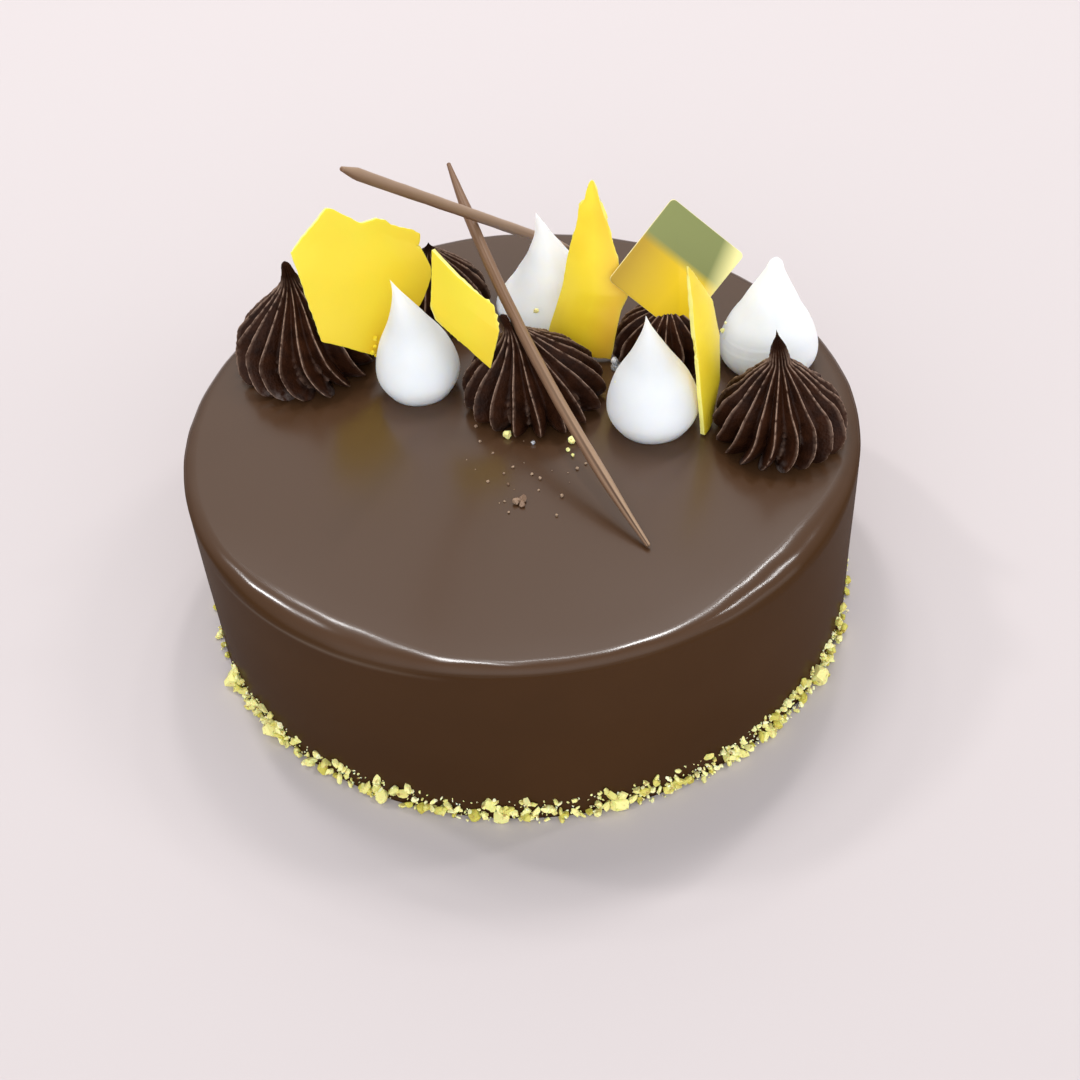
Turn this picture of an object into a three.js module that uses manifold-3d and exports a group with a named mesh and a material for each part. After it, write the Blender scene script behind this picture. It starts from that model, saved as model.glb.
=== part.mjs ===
// A round chocolate mousse cake under a smooth chocolate glaze, with chopped pistachio round its foot.
// On top stand piped rosettes, meringue drops, thin yellow chocolate shards, two rolled chocolate
// sticks and a small plain plaque. Millimetres, +Z up, -Y is the front, and the origin is the centre
// of the flat underside. Angles are in degrees.

import * as THREE from "three";
import { mergeVertices } from "three/addons/utils/BufferGeometryUtils.js";
import Module from "manifold-3d";

// The glazed body
const CAKE_RADIUS = 90;
const CAKE_HEIGHT = 55.6;
const TOP_EDGE_RADIUS = 4.5;
const TOP_EDGE_STEPS = 4;
const CAKE_SIDES = 72;

// Chopped nuts: a ring of small bits, with a few large chunks at the given places along the foot.
// Each pair is a least and a greatest value, and corner, depth and rise are shares of a nut's size.
const NUT_COUNT = 84;
const NUT_SCATTER = 0.8;
const NUT_SIZE = [1.9, 3.6];
const NUT_CORNER = [0.78, 1.18];
const NUT_DEPTH = [0.65, 0.95];
const NUT_RISE = [0.6, 0.9];
const CHUNK_SIZE = [3.84, 5.76];
const CHUNK_ANGLES = [-156, -142, -118, -98, -79, -50, -36, 20, 75, 140];
const NUT_LIFT = 0.15;
const NUT_STAND_OUT = 0.2;
const NUT_SEED = 4177;

// Piped rosettes: fins run from the foot up to a leaning tip, and flankPower above 1 hollows the flank.
// The higher the tip power, the later the lean sets in. The rosette under the plaque is a low dome.
const ROSETTE_FINS = 16;
const POINTS_PER_FIN = 3;
const ROSETTE_RINGS = 9;
const GROOVE_DEPTH = 0.26;
const ROSETTE_TIP_POWER = 2;
const ROSETTE_FLANK = [
  [0.9, 0],
  [1, 0.13],
  [0.93, 0.34],
  [0.68, 0.55],
  [0.34, 0.765],
  [0.08, 0.92],
  [0, 1],
];
const DOMED_FLANK = [
  [0.9, 0],
  [1, 0.13],
  [0.98, 0.36],
  [0.88, 0.58],
  [0.68, 0.78],
  [0.42, 0.92],
  [0, 1],
];
const ROSETTES = [
  { x: -58, y: 33, radius: 19.5, height: 33.2, tipX: -1.2, flankPower: 1.45, turn: 4 },
  { x: -21.5, y: 52, radius: 16, height: 23, tipX: 0, flankPower: 1, turn: 9 },
  { x: 4.7, y: 8.7, radius: 19.5, height: 28, tipX: -6.2, flankPower: 1.5, turn: 0 },
  {
    x: 41.6, y: 22.8, radius: 13.8, height: 15.6, tipX: 1, flankPower: 1, turn: 14,
    flank: DOMED_FLANK,
  },
  { x: 67.3, y: -14.8, radius: 17.4, height: 33.8, tipX: -2.5, flankPower: 1.85, turn: 7 },
];

// Meringue drops: most have the full flank, one is broad and hollow-sided and one has a blunt tip
const MERINGUE_SIDES = 24;
const MERINGUE_RINGS = 11;
const MERINGUE_TIP_POWER = 3;
const MERINGUE_FLANK = [
  [0.78, 0],
  [1, 0.16],
  [0.84, 0.4],
  [0.45, 0.64],
  [0.12, 0.87],
  [0, 1],
];
const BROAD_FLANK = [
  [0.82, 0],
  [1, 0.07],
  [0.9, 0.17],
  [0.71, 0.3],
  [0.57, 0.41],
  [0.41, 0.53],
  [0.28, 0.65],
  [0.17, 0.76],
  [0.09, 0.87],
  [0, 1],
];
const BLUNT_FLANK = [
  [0.78, 0],
  [0.93, 0.07],
  [0.97, 0.16],
  [0.91, 0.28],
  [0.79, 0.4],
  [0.62, 0.52],
  [0.48, 0.64],
  [0.33, 0.76],
  [0.2, 0.87],
  [0.12, 0.955],
  [0, 1],
];
const MERINGUES = [
  { x: -26.3, y: 17.1, radius: 11.4, height: 34.2, tipX: -4, flank: MERINGUE_FLANK },
  { x: 12.3, y: 48.2, radius: 16.2, height: 32.4, tipX: -3.3, flank: BROAD_FLANK },
  { x: 35.2, y: -5.7, radius: 12.2, height: 34.5, tipX: -1.6, flank: MERINGUE_FLANK },
  { x: 69.4, y: 17, radius: 13.8, height: 33.2, tipX: 0.9, flank: BLUNT_FLANK },
];

// Shards of yellow chocolate. Each outline lies in the shard's own plane, across and up from its
// place: the two sides run from the foot to the head, and foot and head hold the points between them.
// A positive yaw takes the right side back, a lean tips the head back, a bow bulges the face forward.
const SHARD_THICKNESS = 1.4;
const SHARD_STEPS = 8;
const SHARDS = [
  {
    place: [-51.6, 20.4, 15.2],
    yaw: 24,
    lean: 20,
    bow: 0.8,
    left: [[0, 0], [-1.6, 25.6]],
    right: [[13.6, -8.8], [30, 1.4], [35.4, 10], [33.6, 16.4], [34.4, 21]],
    foot: [[4.8, -2.8]],
    head: [[10.5, 34.1], [19.2, 28.6], [23, 27.9]],
  },
  {
    place: [-6.2, 3.8, 15.8],
    yaw: -25,
    lean: 18,
    bow: 1,
    left: [[-15.9, 9.7], [-17.5, 12.7], [-17.7, 28.1]],
    right: [[0, -1], [2, 9.6], [-0.1, 16.2]],
    foot: [[-6.2, 3.8]],
    head: [[-8.2, 21.2]],
  },
  {
    place: [26.5, 21.6, 0.7],
    yaw: -24,
    lean: 18,
    bow: 2,
    left: [[-18.5, 0], [-17.4, 12], [-14.3, 28.5], [-12.4, 41], [-10.2, 48.4]],
    right: [[0, 0], [3.1, 20.4], [0.1, 28.9], [-4.4, 40], [-8.6, 48.8]],
    foot: [],
    head: [],
  },
  {
    place: [47.4, -13.4, 0.5],
    yaw: 60,
    lean: 8,
    bow: 1.2,
    left: [[0, 0], [2.2, 24], [4.4, 48.6]],
    right: [[4.6, 0], [12.6, 8.4], [16.2, 20.5], [14.2, 32], [5, 48.4]],
    foot: [],
    head: [],
  },
];

// Rolled sticks, given by both ends and the pull of the bend between them. The higher the swell, the
// sooner a stick reaches its full radius.
const STICK_SIDES = 10;
const STICK_RINGS = 10;
const STICK_TIP_RADIUS = 0.45;
const STICK_SWELL = 1.6;
const STICKS = [
  { from: [28.8, -53.3, 56.5], pull: [0.8, 0.7, 77.4], to: [-13.8, 59.7, 98.3], radius: 1.6 },
  { from: [19.8, 74.7, 57.2], pull: [-8.2, 35.8, 96.9], to: [-36.2, -3.1, 136.6], radius: 1.6 },
];

// The plaque, a thin card with rounded corners that stands on one corner
const PLAQUE_WIDTH = 27.4;
const PLAQUE_HEIGHT = 24.8;
const PLAQUE_THICKNESS = 1;
const PLAQUE_CORNER = 1.3;
const PLAQUE_CORNER_STEPS = 4;
const PLAQUE_PLACE = [45.1, 25.9, 26.2];
const PLAQUE_YAW = 0;
const PLAQUE_LEAN = 25;
const PLAQUE_TURN = 48;

// The gap that a piece pushed into a rosette keeps to the cream round it
const FIT_GAP = 0.5;

// Finishes
const GLAZE = { color: 0x40281e, roughness: 0.25 };
const CREAM = { color: 0x2e1b14, roughness: 0.6 };
const MERINGUE = { color: 0xf7f3ea, roughness: 0.7 };
const YELLOW_CHOCOLATE = { color: 0xf7cb22, roughness: 0.4 };
const MILK_CHOCOLATE = { color: 0x8a6350, roughness: 0.5 };
const PLAQUE_CARD = { color: 0xe9bf35, roughness: 0.45 };

const WELD_DISTANCE = 1e-4;
const RANDOM_STEP = 16807;
const RANDOM_RANGE = 2147483647;

const wasm = await Module();
wasm.setup();

const radians = THREE.MathUtils.degToRad;

// A repeatable run of numbers from 0 to 1
function randomFrom(seed) {
  let state = seed;
  return () => {
    state = (state * RANDOM_STEP) % RANDOM_RANGE;
    return state / RANDOM_RANGE;
  };
}

function between([least, greatest], share) {
  return least + (greatest - least) * share;
}

// The geometry with positions only and its shared vertices joined
function welded(geometry) {
  const bare = geometry.clone();
  bare.deleteAttribute("normal");
  bare.deleteAttribute("uv");
  return mergeVertices(bare, WELD_DISTANCE);
}

function solidOf(geometry) {
  const { index, attributes } = welded(geometry);
  const triVerts = new Uint32Array(index.array);
  const vertProperties = attributes.position.array;
  return new wasm.Manifold(new wasm.Mesh({ numProp: 3, vertProperties, triVerts }));
}

function geometryOf(solid) {
  const { vertProperties, triVerts } = solid.getMesh();
  const geometry = new THREE.BufferGeometry();
  geometry.setAttribute("position", new THREE.BufferAttribute(vertProperties, 3));
  geometry.setIndex(new THREE.BufferAttribute(triVerts, 1));
  geometry.computeVertexNormals();
  return geometry;
}

// Moves each vertex of a geometry to where place(vertex) puts it
function reshaped(geometry, place) {
  const position = geometry.getAttribute("position");
  const vertex = new THREE.Vector3();
  for (let i = 0; i < position.count; i += 1) {
    vertex.fromBufferAttribute(position, i);
    place(vertex);
    position.setXYZ(i, vertex.x, vertex.y, vertex.z);
  }
  geometry.computeVertexNormals();
  return geometry;
}

// A solid turned from a flank of [radius, height] points in units, with a flat foot, standing on Z
function turnedSolid(flank, rings, sides, radius, height, power) {
  const curve = new THREE.SplineCurve(flank.map(([r, z]) => new THREE.Vector2(r, z)));
  const profile = [new THREE.Vector2(0, 0)];
  for (const point of curve.getPoints(rings)) {
    const share = Math.max(point.x, 0) ** power;
    profile.push(new THREE.Vector2(share * radius, point.y * height));
  }
  return new THREE.LatheGeometry(profile, sides).rotateX(Math.PI / 2);
}

function cakeGeometry() {
  const outline = new THREE.Path();
  outline.moveTo(0, 0);
  outline.lineTo(CAKE_RADIUS, 0);
  outline.lineTo(CAKE_RADIUS, CAKE_HEIGHT - TOP_EDGE_RADIUS);
  const arcRadius = CAKE_RADIUS - TOP_EDGE_RADIUS;
  const arcHeight = CAKE_HEIGHT - TOP_EDGE_RADIUS;
  outline.absarc(arcRadius, arcHeight, TOP_EDGE_RADIUS, 0, Math.PI / 2, false);
  outline.lineTo(0, CAKE_HEIGHT);
  const profile = outline.getPoints(TOP_EDGE_STEPS);
  return new THREE.LatheGeometry(profile, CAKE_SIDES).rotateX(Math.PI / 2);
}

// One angular chunk of nut at the foot of the wall, sunk into the glaze on its inner side
function nutGeometry(random, angle, size) {
  const nut = welded(new THREE.IcosahedronGeometry(0.5, 0));
  reshaped(nut, (vertex) => vertex.multiplyScalar(between(NUT_CORNER, random())));
  nut.scale(size, size * between(NUT_DEPTH, random()), size * between(NUT_RISE, random()));
  nut.rotateX(random() * Math.PI);
  nut.rotateZ(random() * Math.PI);
  nut.computeBoundingBox();
  const lift = NUT_LIFT - nut.boundingBox.min.z;
  nut.translate(CAKE_RADIUS + NUT_STAND_OUT * size, 0, lift);
  nut.rotateZ(angle);
  return nut;
}

function cakeWithNuts() {
  const random = randomFrom(NUT_SEED);
  let solid = solidOf(cakeGeometry());
  for (let i = 0; i < NUT_COUNT; i += 1) {
    const angle = ((i + NUT_SCATTER * random()) / NUT_COUNT) * 2 * Math.PI;
    const size = between(NUT_SIZE, random() ** 2);
    solid = solid.add(solidOf(nutGeometry(random, angle, size)));
  }
  for (const degrees of CHUNK_ANGLES) {
    const size = between(CHUNK_SIZE, random());
    solid = solid.add(solidOf(nutGeometry(random, radians(degrees), size)));
  }
  return geometryOf(solid);
}

// A star-piped rosette: the flank is drawn in between the fins, and the tip leans over
function rosetteGeometry({ radius, height, tipX, flankPower, turn, flank = ROSETTE_FLANK }) {
  const sides = ROSETTE_FINS * POINTS_PER_FIN;
  const body = turnedSolid(flank, ROSETTE_RINGS, sides, radius, height, flankPower);
  reshaped(body, (vertex) => {
    const angle = Math.atan2(vertex.x, -vertex.y);
    const groove = Math.abs(Math.sin((angle * ROSETTE_FINS) / 2));
    const width = 1 - GROOVE_DEPTH * groove;
    const rise = vertex.z / height;
    vertex.x *= width;
    vertex.y *= width;
    vertex.applyAxisAngle(new THREE.Vector3(0, 0, 1), radians(turn));
    vertex.x += tipX * rise ** ROSETTE_TIP_POWER;
  });
  return body;
}

// A meringue drop with its drawn-out tip leaning aside
function meringueGeometry({ radius, height, tipX, flank }) {
  const body = turnedSolid(flank, MERINGUE_RINGS, MERINGUE_SIDES, radius, height, 1);
  return reshaped(body, (vertex) => {
    vertex.x += tipX * (vertex.z / height) ** MERINGUE_TIP_POWER;
  });
}

// The point a share of the way along a broken line, each stretch taking an equal share
function alongLine(points, share) {
  const last = points.length - 1;
  const stretch = Math.min(Math.floor(share * last), last - 1);
  const start = new THREE.Vector2(...points[stretch]);
  const end = new THREE.Vector2(...points[stretch + 1]);
  return start.lerp(end, share * last - stretch);
}

// A thin bowed plate between four edges, both faces split alike. It lies in X (across) and Z (up).
function shardGeometry({ left, right, foot, head, bow }, gap = 0) {
  const footLine = [left[0], ...foot, right[0]];
  const headLine = [left.at(-1), ...head, right.at(-1)];
  const blend = (s, t) => {
    const across = alongLine(footLine, s).lerp(alongLine(headLine, s), t);
    const up = alongLine(left, t).lerp(alongLine(right, t), s);
    const footPoint = alongLine([left[0], right[0]], s);
    const headPoint = alongLine([left.at(-1), right.at(-1)], s);
    return across.add(up).sub(footPoint.lerp(headPoint, t));
  };
  const middle = blend(0.5, 0.5);
  const thickness = SHARD_THICKNESS + 2 * gap;
  const plate = new THREE.BoxGeometry(1, 1, 1, SHARD_STEPS, 1, SHARD_STEPS);
  return reshaped(plate, (vertex) => {
    const s = vertex.x + 0.5;
    const t = vertex.z + 0.5;
    const point = blend(s, t);
    const outward = point.clone().sub(middle);
    point.add(outward.setLength(2 * gap * Math.max(Math.abs(vertex.x), Math.abs(vertex.z))));
    const bulge = bow * (1 - (2 * vertex.x) ** 2);
    vertex.set(point.x, vertex.y * thickness - bulge, point.y);
  });
}

// A slim rolled stick, thickest in the middle and drawn to a point at both ends
function stickGeometry({ from, pull, to, radius }, gap = 0) {
  const curve = new THREE.QuadraticBezierCurve3(
    new THREE.Vector3(...from), new THREE.Vector3(...pull), new THREE.Vector3(...to),
  );
  const profile = [new THREE.Vector2(0, 0)];
  for (let i = 0; i <= STICK_RINGS; i += 1) {
    const share = i / STICK_RINGS;
    const swell = Math.min(1, STICK_SWELL * Math.sin(Math.PI * share));
    const width = STICK_TIP_RADIUS + (radius - STICK_TIP_RADIUS) * swell + gap;
    profile.push(new THREE.Vector2(width, share));
  }
  profile.push(new THREE.Vector2(0, 1));
  const stick = new THREE.LatheGeometry(profile, STICK_SIDES).rotateX(Math.PI / 2);
  return reshaped(stick, (vertex) => {
    const centre = curve.getPoint(vertex.z);
    const along = curve.getTangent(vertex.z);
    const aside = new THREE.Vector3(0, 0, 1).cross(along).normalize();
    const over = along.cross(aside);
    centre.addScaledVector(aside, -vertex.y).addScaledVector(over, vertex.x);
    vertex.copy(centre);
  });
}

// The plaque's card, standing in X and Z round its own middle
function plaqueGeometry(gap = 0) {
  const halfWidth = PLAQUE_WIDTH / 2 + gap;
  const halfHeight = PLAQUE_HEIGHT / 2 + gap;
  const corner = PLAQUE_CORNER;
  const thickness = PLAQUE_THICKNESS + 2 * gap;
  const outline = new THREE.Shape();
  outline.moveTo(-halfWidth + corner, -halfHeight);
  outline.absarc(halfWidth - corner, -halfHeight + corner, corner, -Math.PI / 2, 0);
  outline.absarc(halfWidth - corner, halfHeight - corner, corner, 0, Math.PI / 2);
  outline.absarc(-halfWidth + corner, halfHeight - corner, corner, Math.PI / 2, Math.PI);
  outline.absarc(-halfWidth + corner, -halfHeight + corner, corner, Math.PI, 1.5 * Math.PI);
  const card = new THREE.ExtrudeGeometry(outline, {
    depth: thickness, bevelEnabled: false, curveSegments: PLAQUE_CORNER_STEPS,
  });
  return card.translate(0, 0, -thickness / 2).rotateX(Math.PI / 2);
}

function addPiece(parent, name, geometry, finish) {
  const material = new THREE.MeshStandardMaterial({ ...finish, metalness: 0 });
  const mesh = new THREE.Mesh(geometry, material);
  mesh.name = name;
  parent.add(mesh);
  return mesh;
}

// Stands a plate up on the cake's top: yaw turns it, lean tips it back, turn spins it in its plane
function standUp(mesh, place, yaw, lean, turn = 0) {
  mesh.rotation.order = "ZXY";
  mesh.rotation.set(radians(-lean), radians(-turn), radians(yaw));
  mesh.position.set(...place);
}

// Cuts the room that a pushed-in piece needs out of a rosette
function cutRoom(rosette, piece, piecePlusGap) {
  rosette.updateWorldMatrix(true, false);
  piece.updateWorldMatrix(true, false);
  const intoRosette = rosette.matrixWorld.clone().invert().multiply(piece.matrixWorld);
  const cutter = piecePlusGap.applyMatrix4(intoRosette);
  rosette.geometry = geometryOf(solidOf(rosette.geometry).subtract(solidOf(cutter)));
}

const cake = new THREE.Group();
addPiece(cake, "cake", cakeWithNuts(), GLAZE);

const toppings = new THREE.Group();
toppings.position.z = CAKE_HEIGHT;
cake.add(toppings);

const rosettes = ROSETTES.map((spec, i) => {
  const mesh = addPiece(toppings, `rosette_${i + 1}`, rosetteGeometry(spec), CREAM);
  mesh.position.set(spec.x, spec.y, 0);
  return mesh;
});

MERINGUES.forEach((spec, i) => {
  const mesh = addPiece(toppings, `meringue_${i + 1}`, meringueGeometry(spec), MERINGUE);
  mesh.position.set(spec.x, spec.y, 0);
});

const shards = SHARDS.map((spec, i) => {
  const mesh = addPiece(toppings, `shard_${i + 1}`, shardGeometry(spec), YELLOW_CHOCOLATE);
  standUp(mesh, spec.place, spec.yaw, spec.lean);
  return mesh;
});

const sticks = STICKS.map((spec, i) => {
  return addPiece(cake, `stick_${i + 1}`, stickGeometry(spec), MILK_CHOCOLATE);
});

const plaque = addPiece(toppings, "plaque", plaqueGeometry(), PLAQUE_CARD);
standUp(plaque, PLAQUE_PLACE, PLAQUE_YAW, PLAQUE_LEAN, PLAQUE_TURN);

cutRoom(rosettes[0], shards[0], shardGeometry(SHARDS[0], FIT_GAP));
cutRoom(rosettes[2], shards[1], shardGeometry(SHARDS[1], FIT_GAP));
cutRoom(rosettes[2], sticks[0], stickGeometry(STICKS[0], FIT_GAP));
cutRoom(rosettes[3], plaque, plaqueGeometry(FIT_GAP));

export default cake;
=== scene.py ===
# A round chocolate mousse cake with piped, broken and rolled toppings, dressed on its CAD model.
# Metres, +Z up, -Y is the front, and the origin is the centre of the flat underside.

import math

import bmesh
import bpy
import numpy as np
from mathutils import Matrix, Vector, noise


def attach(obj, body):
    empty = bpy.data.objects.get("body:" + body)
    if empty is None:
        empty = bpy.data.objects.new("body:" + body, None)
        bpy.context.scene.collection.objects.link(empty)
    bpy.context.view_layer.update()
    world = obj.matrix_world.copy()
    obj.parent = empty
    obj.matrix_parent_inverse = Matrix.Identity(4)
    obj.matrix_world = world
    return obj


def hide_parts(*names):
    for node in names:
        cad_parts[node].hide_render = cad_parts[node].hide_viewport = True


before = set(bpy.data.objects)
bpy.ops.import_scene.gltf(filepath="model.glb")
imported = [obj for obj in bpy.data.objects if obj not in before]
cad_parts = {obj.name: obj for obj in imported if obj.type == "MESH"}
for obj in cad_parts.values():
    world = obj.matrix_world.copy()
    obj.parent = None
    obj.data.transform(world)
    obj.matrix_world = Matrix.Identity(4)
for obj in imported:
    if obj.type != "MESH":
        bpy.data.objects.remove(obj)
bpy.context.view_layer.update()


# Glazed body
# Chocolate mousse set in a ring, turned out and coated with poured chocolate glaze. It runs over
# the top edge and rounds it, and leaves soft swells and a faint lap line on the wall.

MM = 0.001
CAKE_RADIUS = 90 * MM
CAKE_HEIGHT = 55.6 * MM
CAKE_TOP = Vector((0, 0, CAKE_HEIGHT))
CAKE_SIDES = 240
TOP_RINGS = 11
TOP_RING_WIDTH = 7 * MM
WALL_CUTS = 95
BEVEL_SIZE = 6 * MM
BEVEL_STEPS = 16
EDGE_SIZE = 3.6 * MM
EDGE_REACH = 1.17
EDGE_DROP = 0.7
EDGE_RUNS = ((-126, 18, 3.1 * MM), (-44, 18, 3.4 * MM))
FOOT_STILL = 3 * MM
SWELL = 0.16 * MM
SWELL_LENGTH = 26 * MM
RIM_WAVE = 0.2 * MM
RIM_WAVE_LENGTH = 9 * MM
LAP_THICKNESS = 0.25 * MM
LAP_STEP = 0.6 * MM
LAP_FADE = 5 * MM
LAP_HIGHLIGHT_WIDTH = 0.55 * MM
LAP_HEIGHTS = (49.4 * MM, 52.4 * MM)
LAP_BEND = 0.7
LAP_FROM = math.radians(-152)
LAP_TO = math.radians(-103)
NEAR = 0.01 * MM


def pick(piece, kind, wanted):
    """In edit mode, selects the edges or faces whose corner places satisfy wanted(places)."""
    bpy.ops.mesh.select_mode(type=kind)
    bpy.ops.mesh.select_all(action="DESELECT")
    mesh = bmesh.from_edit_mesh(piece.data)
    for item in {"EDGE": mesh.edges, "FACE": mesh.faces}[kind]:
        item.select_set(wanted([corner.co for corner in item.verts]))
    mesh.select_flush_mode()
    bmesh.update_edit_mesh(piece.data)


def turn_faces_outward():
    """Turns every face of the piece in hand outwards, and leaves edit mode."""
    bpy.ops.object.mode_set(mode="EDIT")
    bpy.ops.mesh.select_all(action="SELECT")
    bpy.ops.mesh.normals_make_consistent(inside=False)
    bpy.ops.object.mode_set(mode="OBJECT")


def places_of(mesh):
    """A mesh's vertex places as rows of x, y, z."""
    places = np.zeros(len(mesh.vertices) * 3)
    mesh.vertices.foreach_get("co", places)
    return places.reshape(-1, 3)


def put_places(mesh, places):
    mesh.vertices.foreach_set("co", np.asarray(places, np.float32).ravel())
    mesh.update()


def note(piece, name, values, kind="POINT"):
    """Keeps a value for each vertex, or each face, for the piece's material to read."""
    piece.data.attributes.new(name, "FLOAT", kind).data.foreach_set("value", values)


def held(values):
    """Values kept between 0 and 1."""
    return np.clip(values, 0, 1)


def between(pair, share):
    return pair[0] + (pair[1] - pair[0]) * share


def drift(places, length, shift=0.0):
    """Smooth random values from about -1 to 1, that change over the given length."""
    return np.array([noise.noise(Vector(p) / length + Vector((shift, 0, 0))) for p in places])


def redrawn(along, full, size):
    """Distances up to a full one, with the bevel at the far end redrawn to the given size."""
    start = full - BEVEL_SIZE
    bevel = full - (full - along) * size / BEVEL_SIZE
    return np.where(along > start, bevel, along * (full - size) / start)


bpy.ops.object.select_all(action="DESELECT")
bpy.ops.mesh.primitive_cylinder_add(
    vertices=CAKE_SIDES, radius=CAKE_RADIUS, depth=CAKE_HEIGHT, location=CAKE_TOP / 2
)
body = bpy.context.object
body.name = "glazed_body"
bpy.ops.object.transform_apply(location=True, rotation=False, scale=False)
bpy.ops.object.mode_set(mode="EDIT")
pick(body, "EDGE", lambda places: all(p.z > CAKE_HEIGHT - NEAR for p in places))
bpy.ops.mesh.bevel(
    offset=BEVEL_SIZE, offset_type="OFFSET", segments=BEVEL_STEPS, profile=0.5, affect="EDGES"
)
pick(body, "FACE", lambda places: all(p.z > CAKE_HEIGHT - NEAR for p in places))
for _ in range(TOP_RINGS):
    bpy.ops.mesh.inset(thickness=TOP_RING_WIDTH)
bpy.ops.mesh.poke()
pick(body, "FACE", lambda places: all(p.z < NEAR for p in places))
bpy.ops.mesh.inset(thickness=TOP_RING_WIDTH)
bpy.ops.mesh.poke()
pick(body, "EDGE", lambda places: abs(places[0].z - places[1].z) > CAKE_HEIGHT / 2)
bpy.ops.mesh.subdivide(number_cuts=WALL_CUTS)
turn_faces_outward()

# The even bevel becomes the glaze's own rounding, wider than deep, and larger in two runs in front
wall = places_of(body.data)
outward = np.array([v.normal for v in body.data.vertices])
free = held(wall[:, 2] / FOOT_STILL)
turn = np.arctan2(wall[:, 1], wall[:, 0])
edge = np.full(len(wall), EDGE_SIZE)
for middle, half, extra in EDGE_RUNS:
    edge += extra * np.exp(-(np.abs((np.degrees(turn) - middle) / half) ** 3))
far = np.hypot(wall[:, 0], wall[:, 1])
out = redrawn(far, CAKE_RADIUS, edge * EDGE_REACH)
wall[:, :2] *= (out / np.maximum(far, NEAR))[:, None]
wall[:, 2] = redrawn(wall[:, 2], CAKE_HEIGHT, edge * EDGE_DROP)

# A second run of glaze laps over the first on the left, and the whole coat swells a little
lap_share = held((turn - LAP_FROM) / (LAP_TO - LAP_FROM))
lap_ends = np.sin(np.pi * lap_share) * held(2 - 2 * outward[:, 2])
above = wall[:, 2] - between(LAP_HEIGHTS, lap_share**LAP_BEND)
lap = held(above / LAP_STEP) * held(1 - above / LAP_FADE) * lap_ends
# Painted highlight: a thin band at the lap line, where the glaze is coloured paler.
note(body, "lap_highlight", np.exp(-((above / LAP_HIGHLIGHT_WIDTH) ** 2)) * lap_ends)
rim = held(4 * outward[:, 2]) * held(6 - 6 * outward[:, 2])
swell = SWELL * drift(wall, SWELL_LENGTH) + LAP_THICKNESS * lap
swell += RIM_WAVE * rim * drift(wall, RIM_WAVE_LENGTH)
put_places(body.data, wall + outward * (swell * free)[:, None])
bpy.ops.object.shade_smooth()


def add_node(tree, kind, inputs=(), **options):
    """Adds a shader node, sets its options, and fills its inputs by value or by a link."""
    made = tree.nodes.new(kind)
    for name, value in options.items():
        setattr(made, name, value)
    for name, value in dict(inputs).items():
        if isinstance(value, bpy.types.NodeSocket):
            tree.links.new(value, made.inputs[name])
        else:
            made.inputs[name].default_value = value
    return made


def mixed(tree, share, first, second):
    """The colour a share of the way from the first to the second."""
    inputs = {0: share, 6: first, 7: second}
    return add_node(tree, "ShaderNodeMix", inputs, data_type="RGBA").outputs[2]


def ramped(tree, value, start, end):
    """How far a value is from the start to the end, kept between 0 and 1."""
    inputs = {"Value": value, "From Min": start, "From Max": end}
    return add_node(tree, "ShaderNodeMapRange", inputs).outputs["Result"]


def maths(tree, operation, *values):
    return add_node(tree, "ShaderNodeMath", enumerate(values), operation=operation).outputs["Value"]


def attribute(tree, name):
    return add_node(tree, "ShaderNodeAttribute", attribute_name=name).outputs["Fac"]


def new_finish(name, constants):
    """A material and its shader, with the sockets set that are the same all over."""
    material = bpy.data.materials.new(name)
    material.use_nodes = True
    shader = material.node_tree.nodes["Principled BSDF"]
    for socket, value in constants.items():
        shader.inputs[socket].default_value = value
    return material, material.node_tree, shader


NUMBER, COLOUR = "NodeSocketFloat", "NodeSocketColor"
BLACK, WHITE = (0, 0, 0, 1), (1, 1, 1, 1)


def new_group(name, inputs, outputs):
    """A group of shader nodes with named sockets, what it takes in, and what it gives out."""
    group = bpy.data.node_groups.new(name, "ShaderNodeTree")
    for way, sockets in (("INPUT", inputs), ("OUTPUT", outputs)):
        for socket, kind in sockets.items():
            group.interface.new_socket(socket, in_out=way, socket_type=kind)
    taken = group.nodes.new("NodeGroupInput").outputs
    given = group.nodes.new("NodeGroupOutput").inputs
    return group, taken, given


# Cloudy changes of colour, from the first to the second, over an object's own coordinates
mottle, taken, given = new_group(
    "mottle",
    {"First": COLOUR, "Second": COLOUR, "Scale": NUMBER, "From": NUMBER, "To": NUMBER},
    {"Color": COLOUR, "Mask": NUMBER},
)
where = add_node(mottle, "ShaderNodeTexCoord").outputs["Object"]
cloud = add_node(
    mottle, "ShaderNodeTexNoise", {"Vector": where, "Scale": taken["Scale"], "Detail": 4.0}
).outputs["Fac"]
spread = ramped(mottle, cloud, taken["From"], taken["To"])
mottle.links.new(mixed(mottle, spread, taken["First"], taken["Second"]), given["Color"])
mottle.links.new(spread, given["Mask"])

# Small bumps with pits among them, as a height
relief, taken, given = new_group(
    "fine_relief", {"Scale": NUMBER, "Pits": NUMBER}, {"Height": NUMBER}
)
where = add_node(relief, "ShaderNodeTexCoord").outputs["Object"]
grid = {"Vector": where, "Scale": taken["Scale"]}
bumps = add_node(relief, "ShaderNodeTexNoise", {**grid, "Detail": 3.0}).outputs["Fac"]
cells = add_node(relief, "ShaderNodeTexVoronoi", grid).outputs["Distance"]
relief.links.new(maths(relief, "MULTIPLY_ADD", cells, taken["Pits"], bumps), given["Height"])


def use_mottle(tree, first=BLACK, second=WHITE, *, scale, start=0.35, end=0.65):
    """The mottle between two colours: its Color, and the Mask of how far it is to the second."""
    values = {"First": first, "Second": second, "Scale": scale, "From": start, "To": end}
    return add_node(tree, "ShaderNodeGroup", values, node_tree=mottle).outputs


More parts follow.
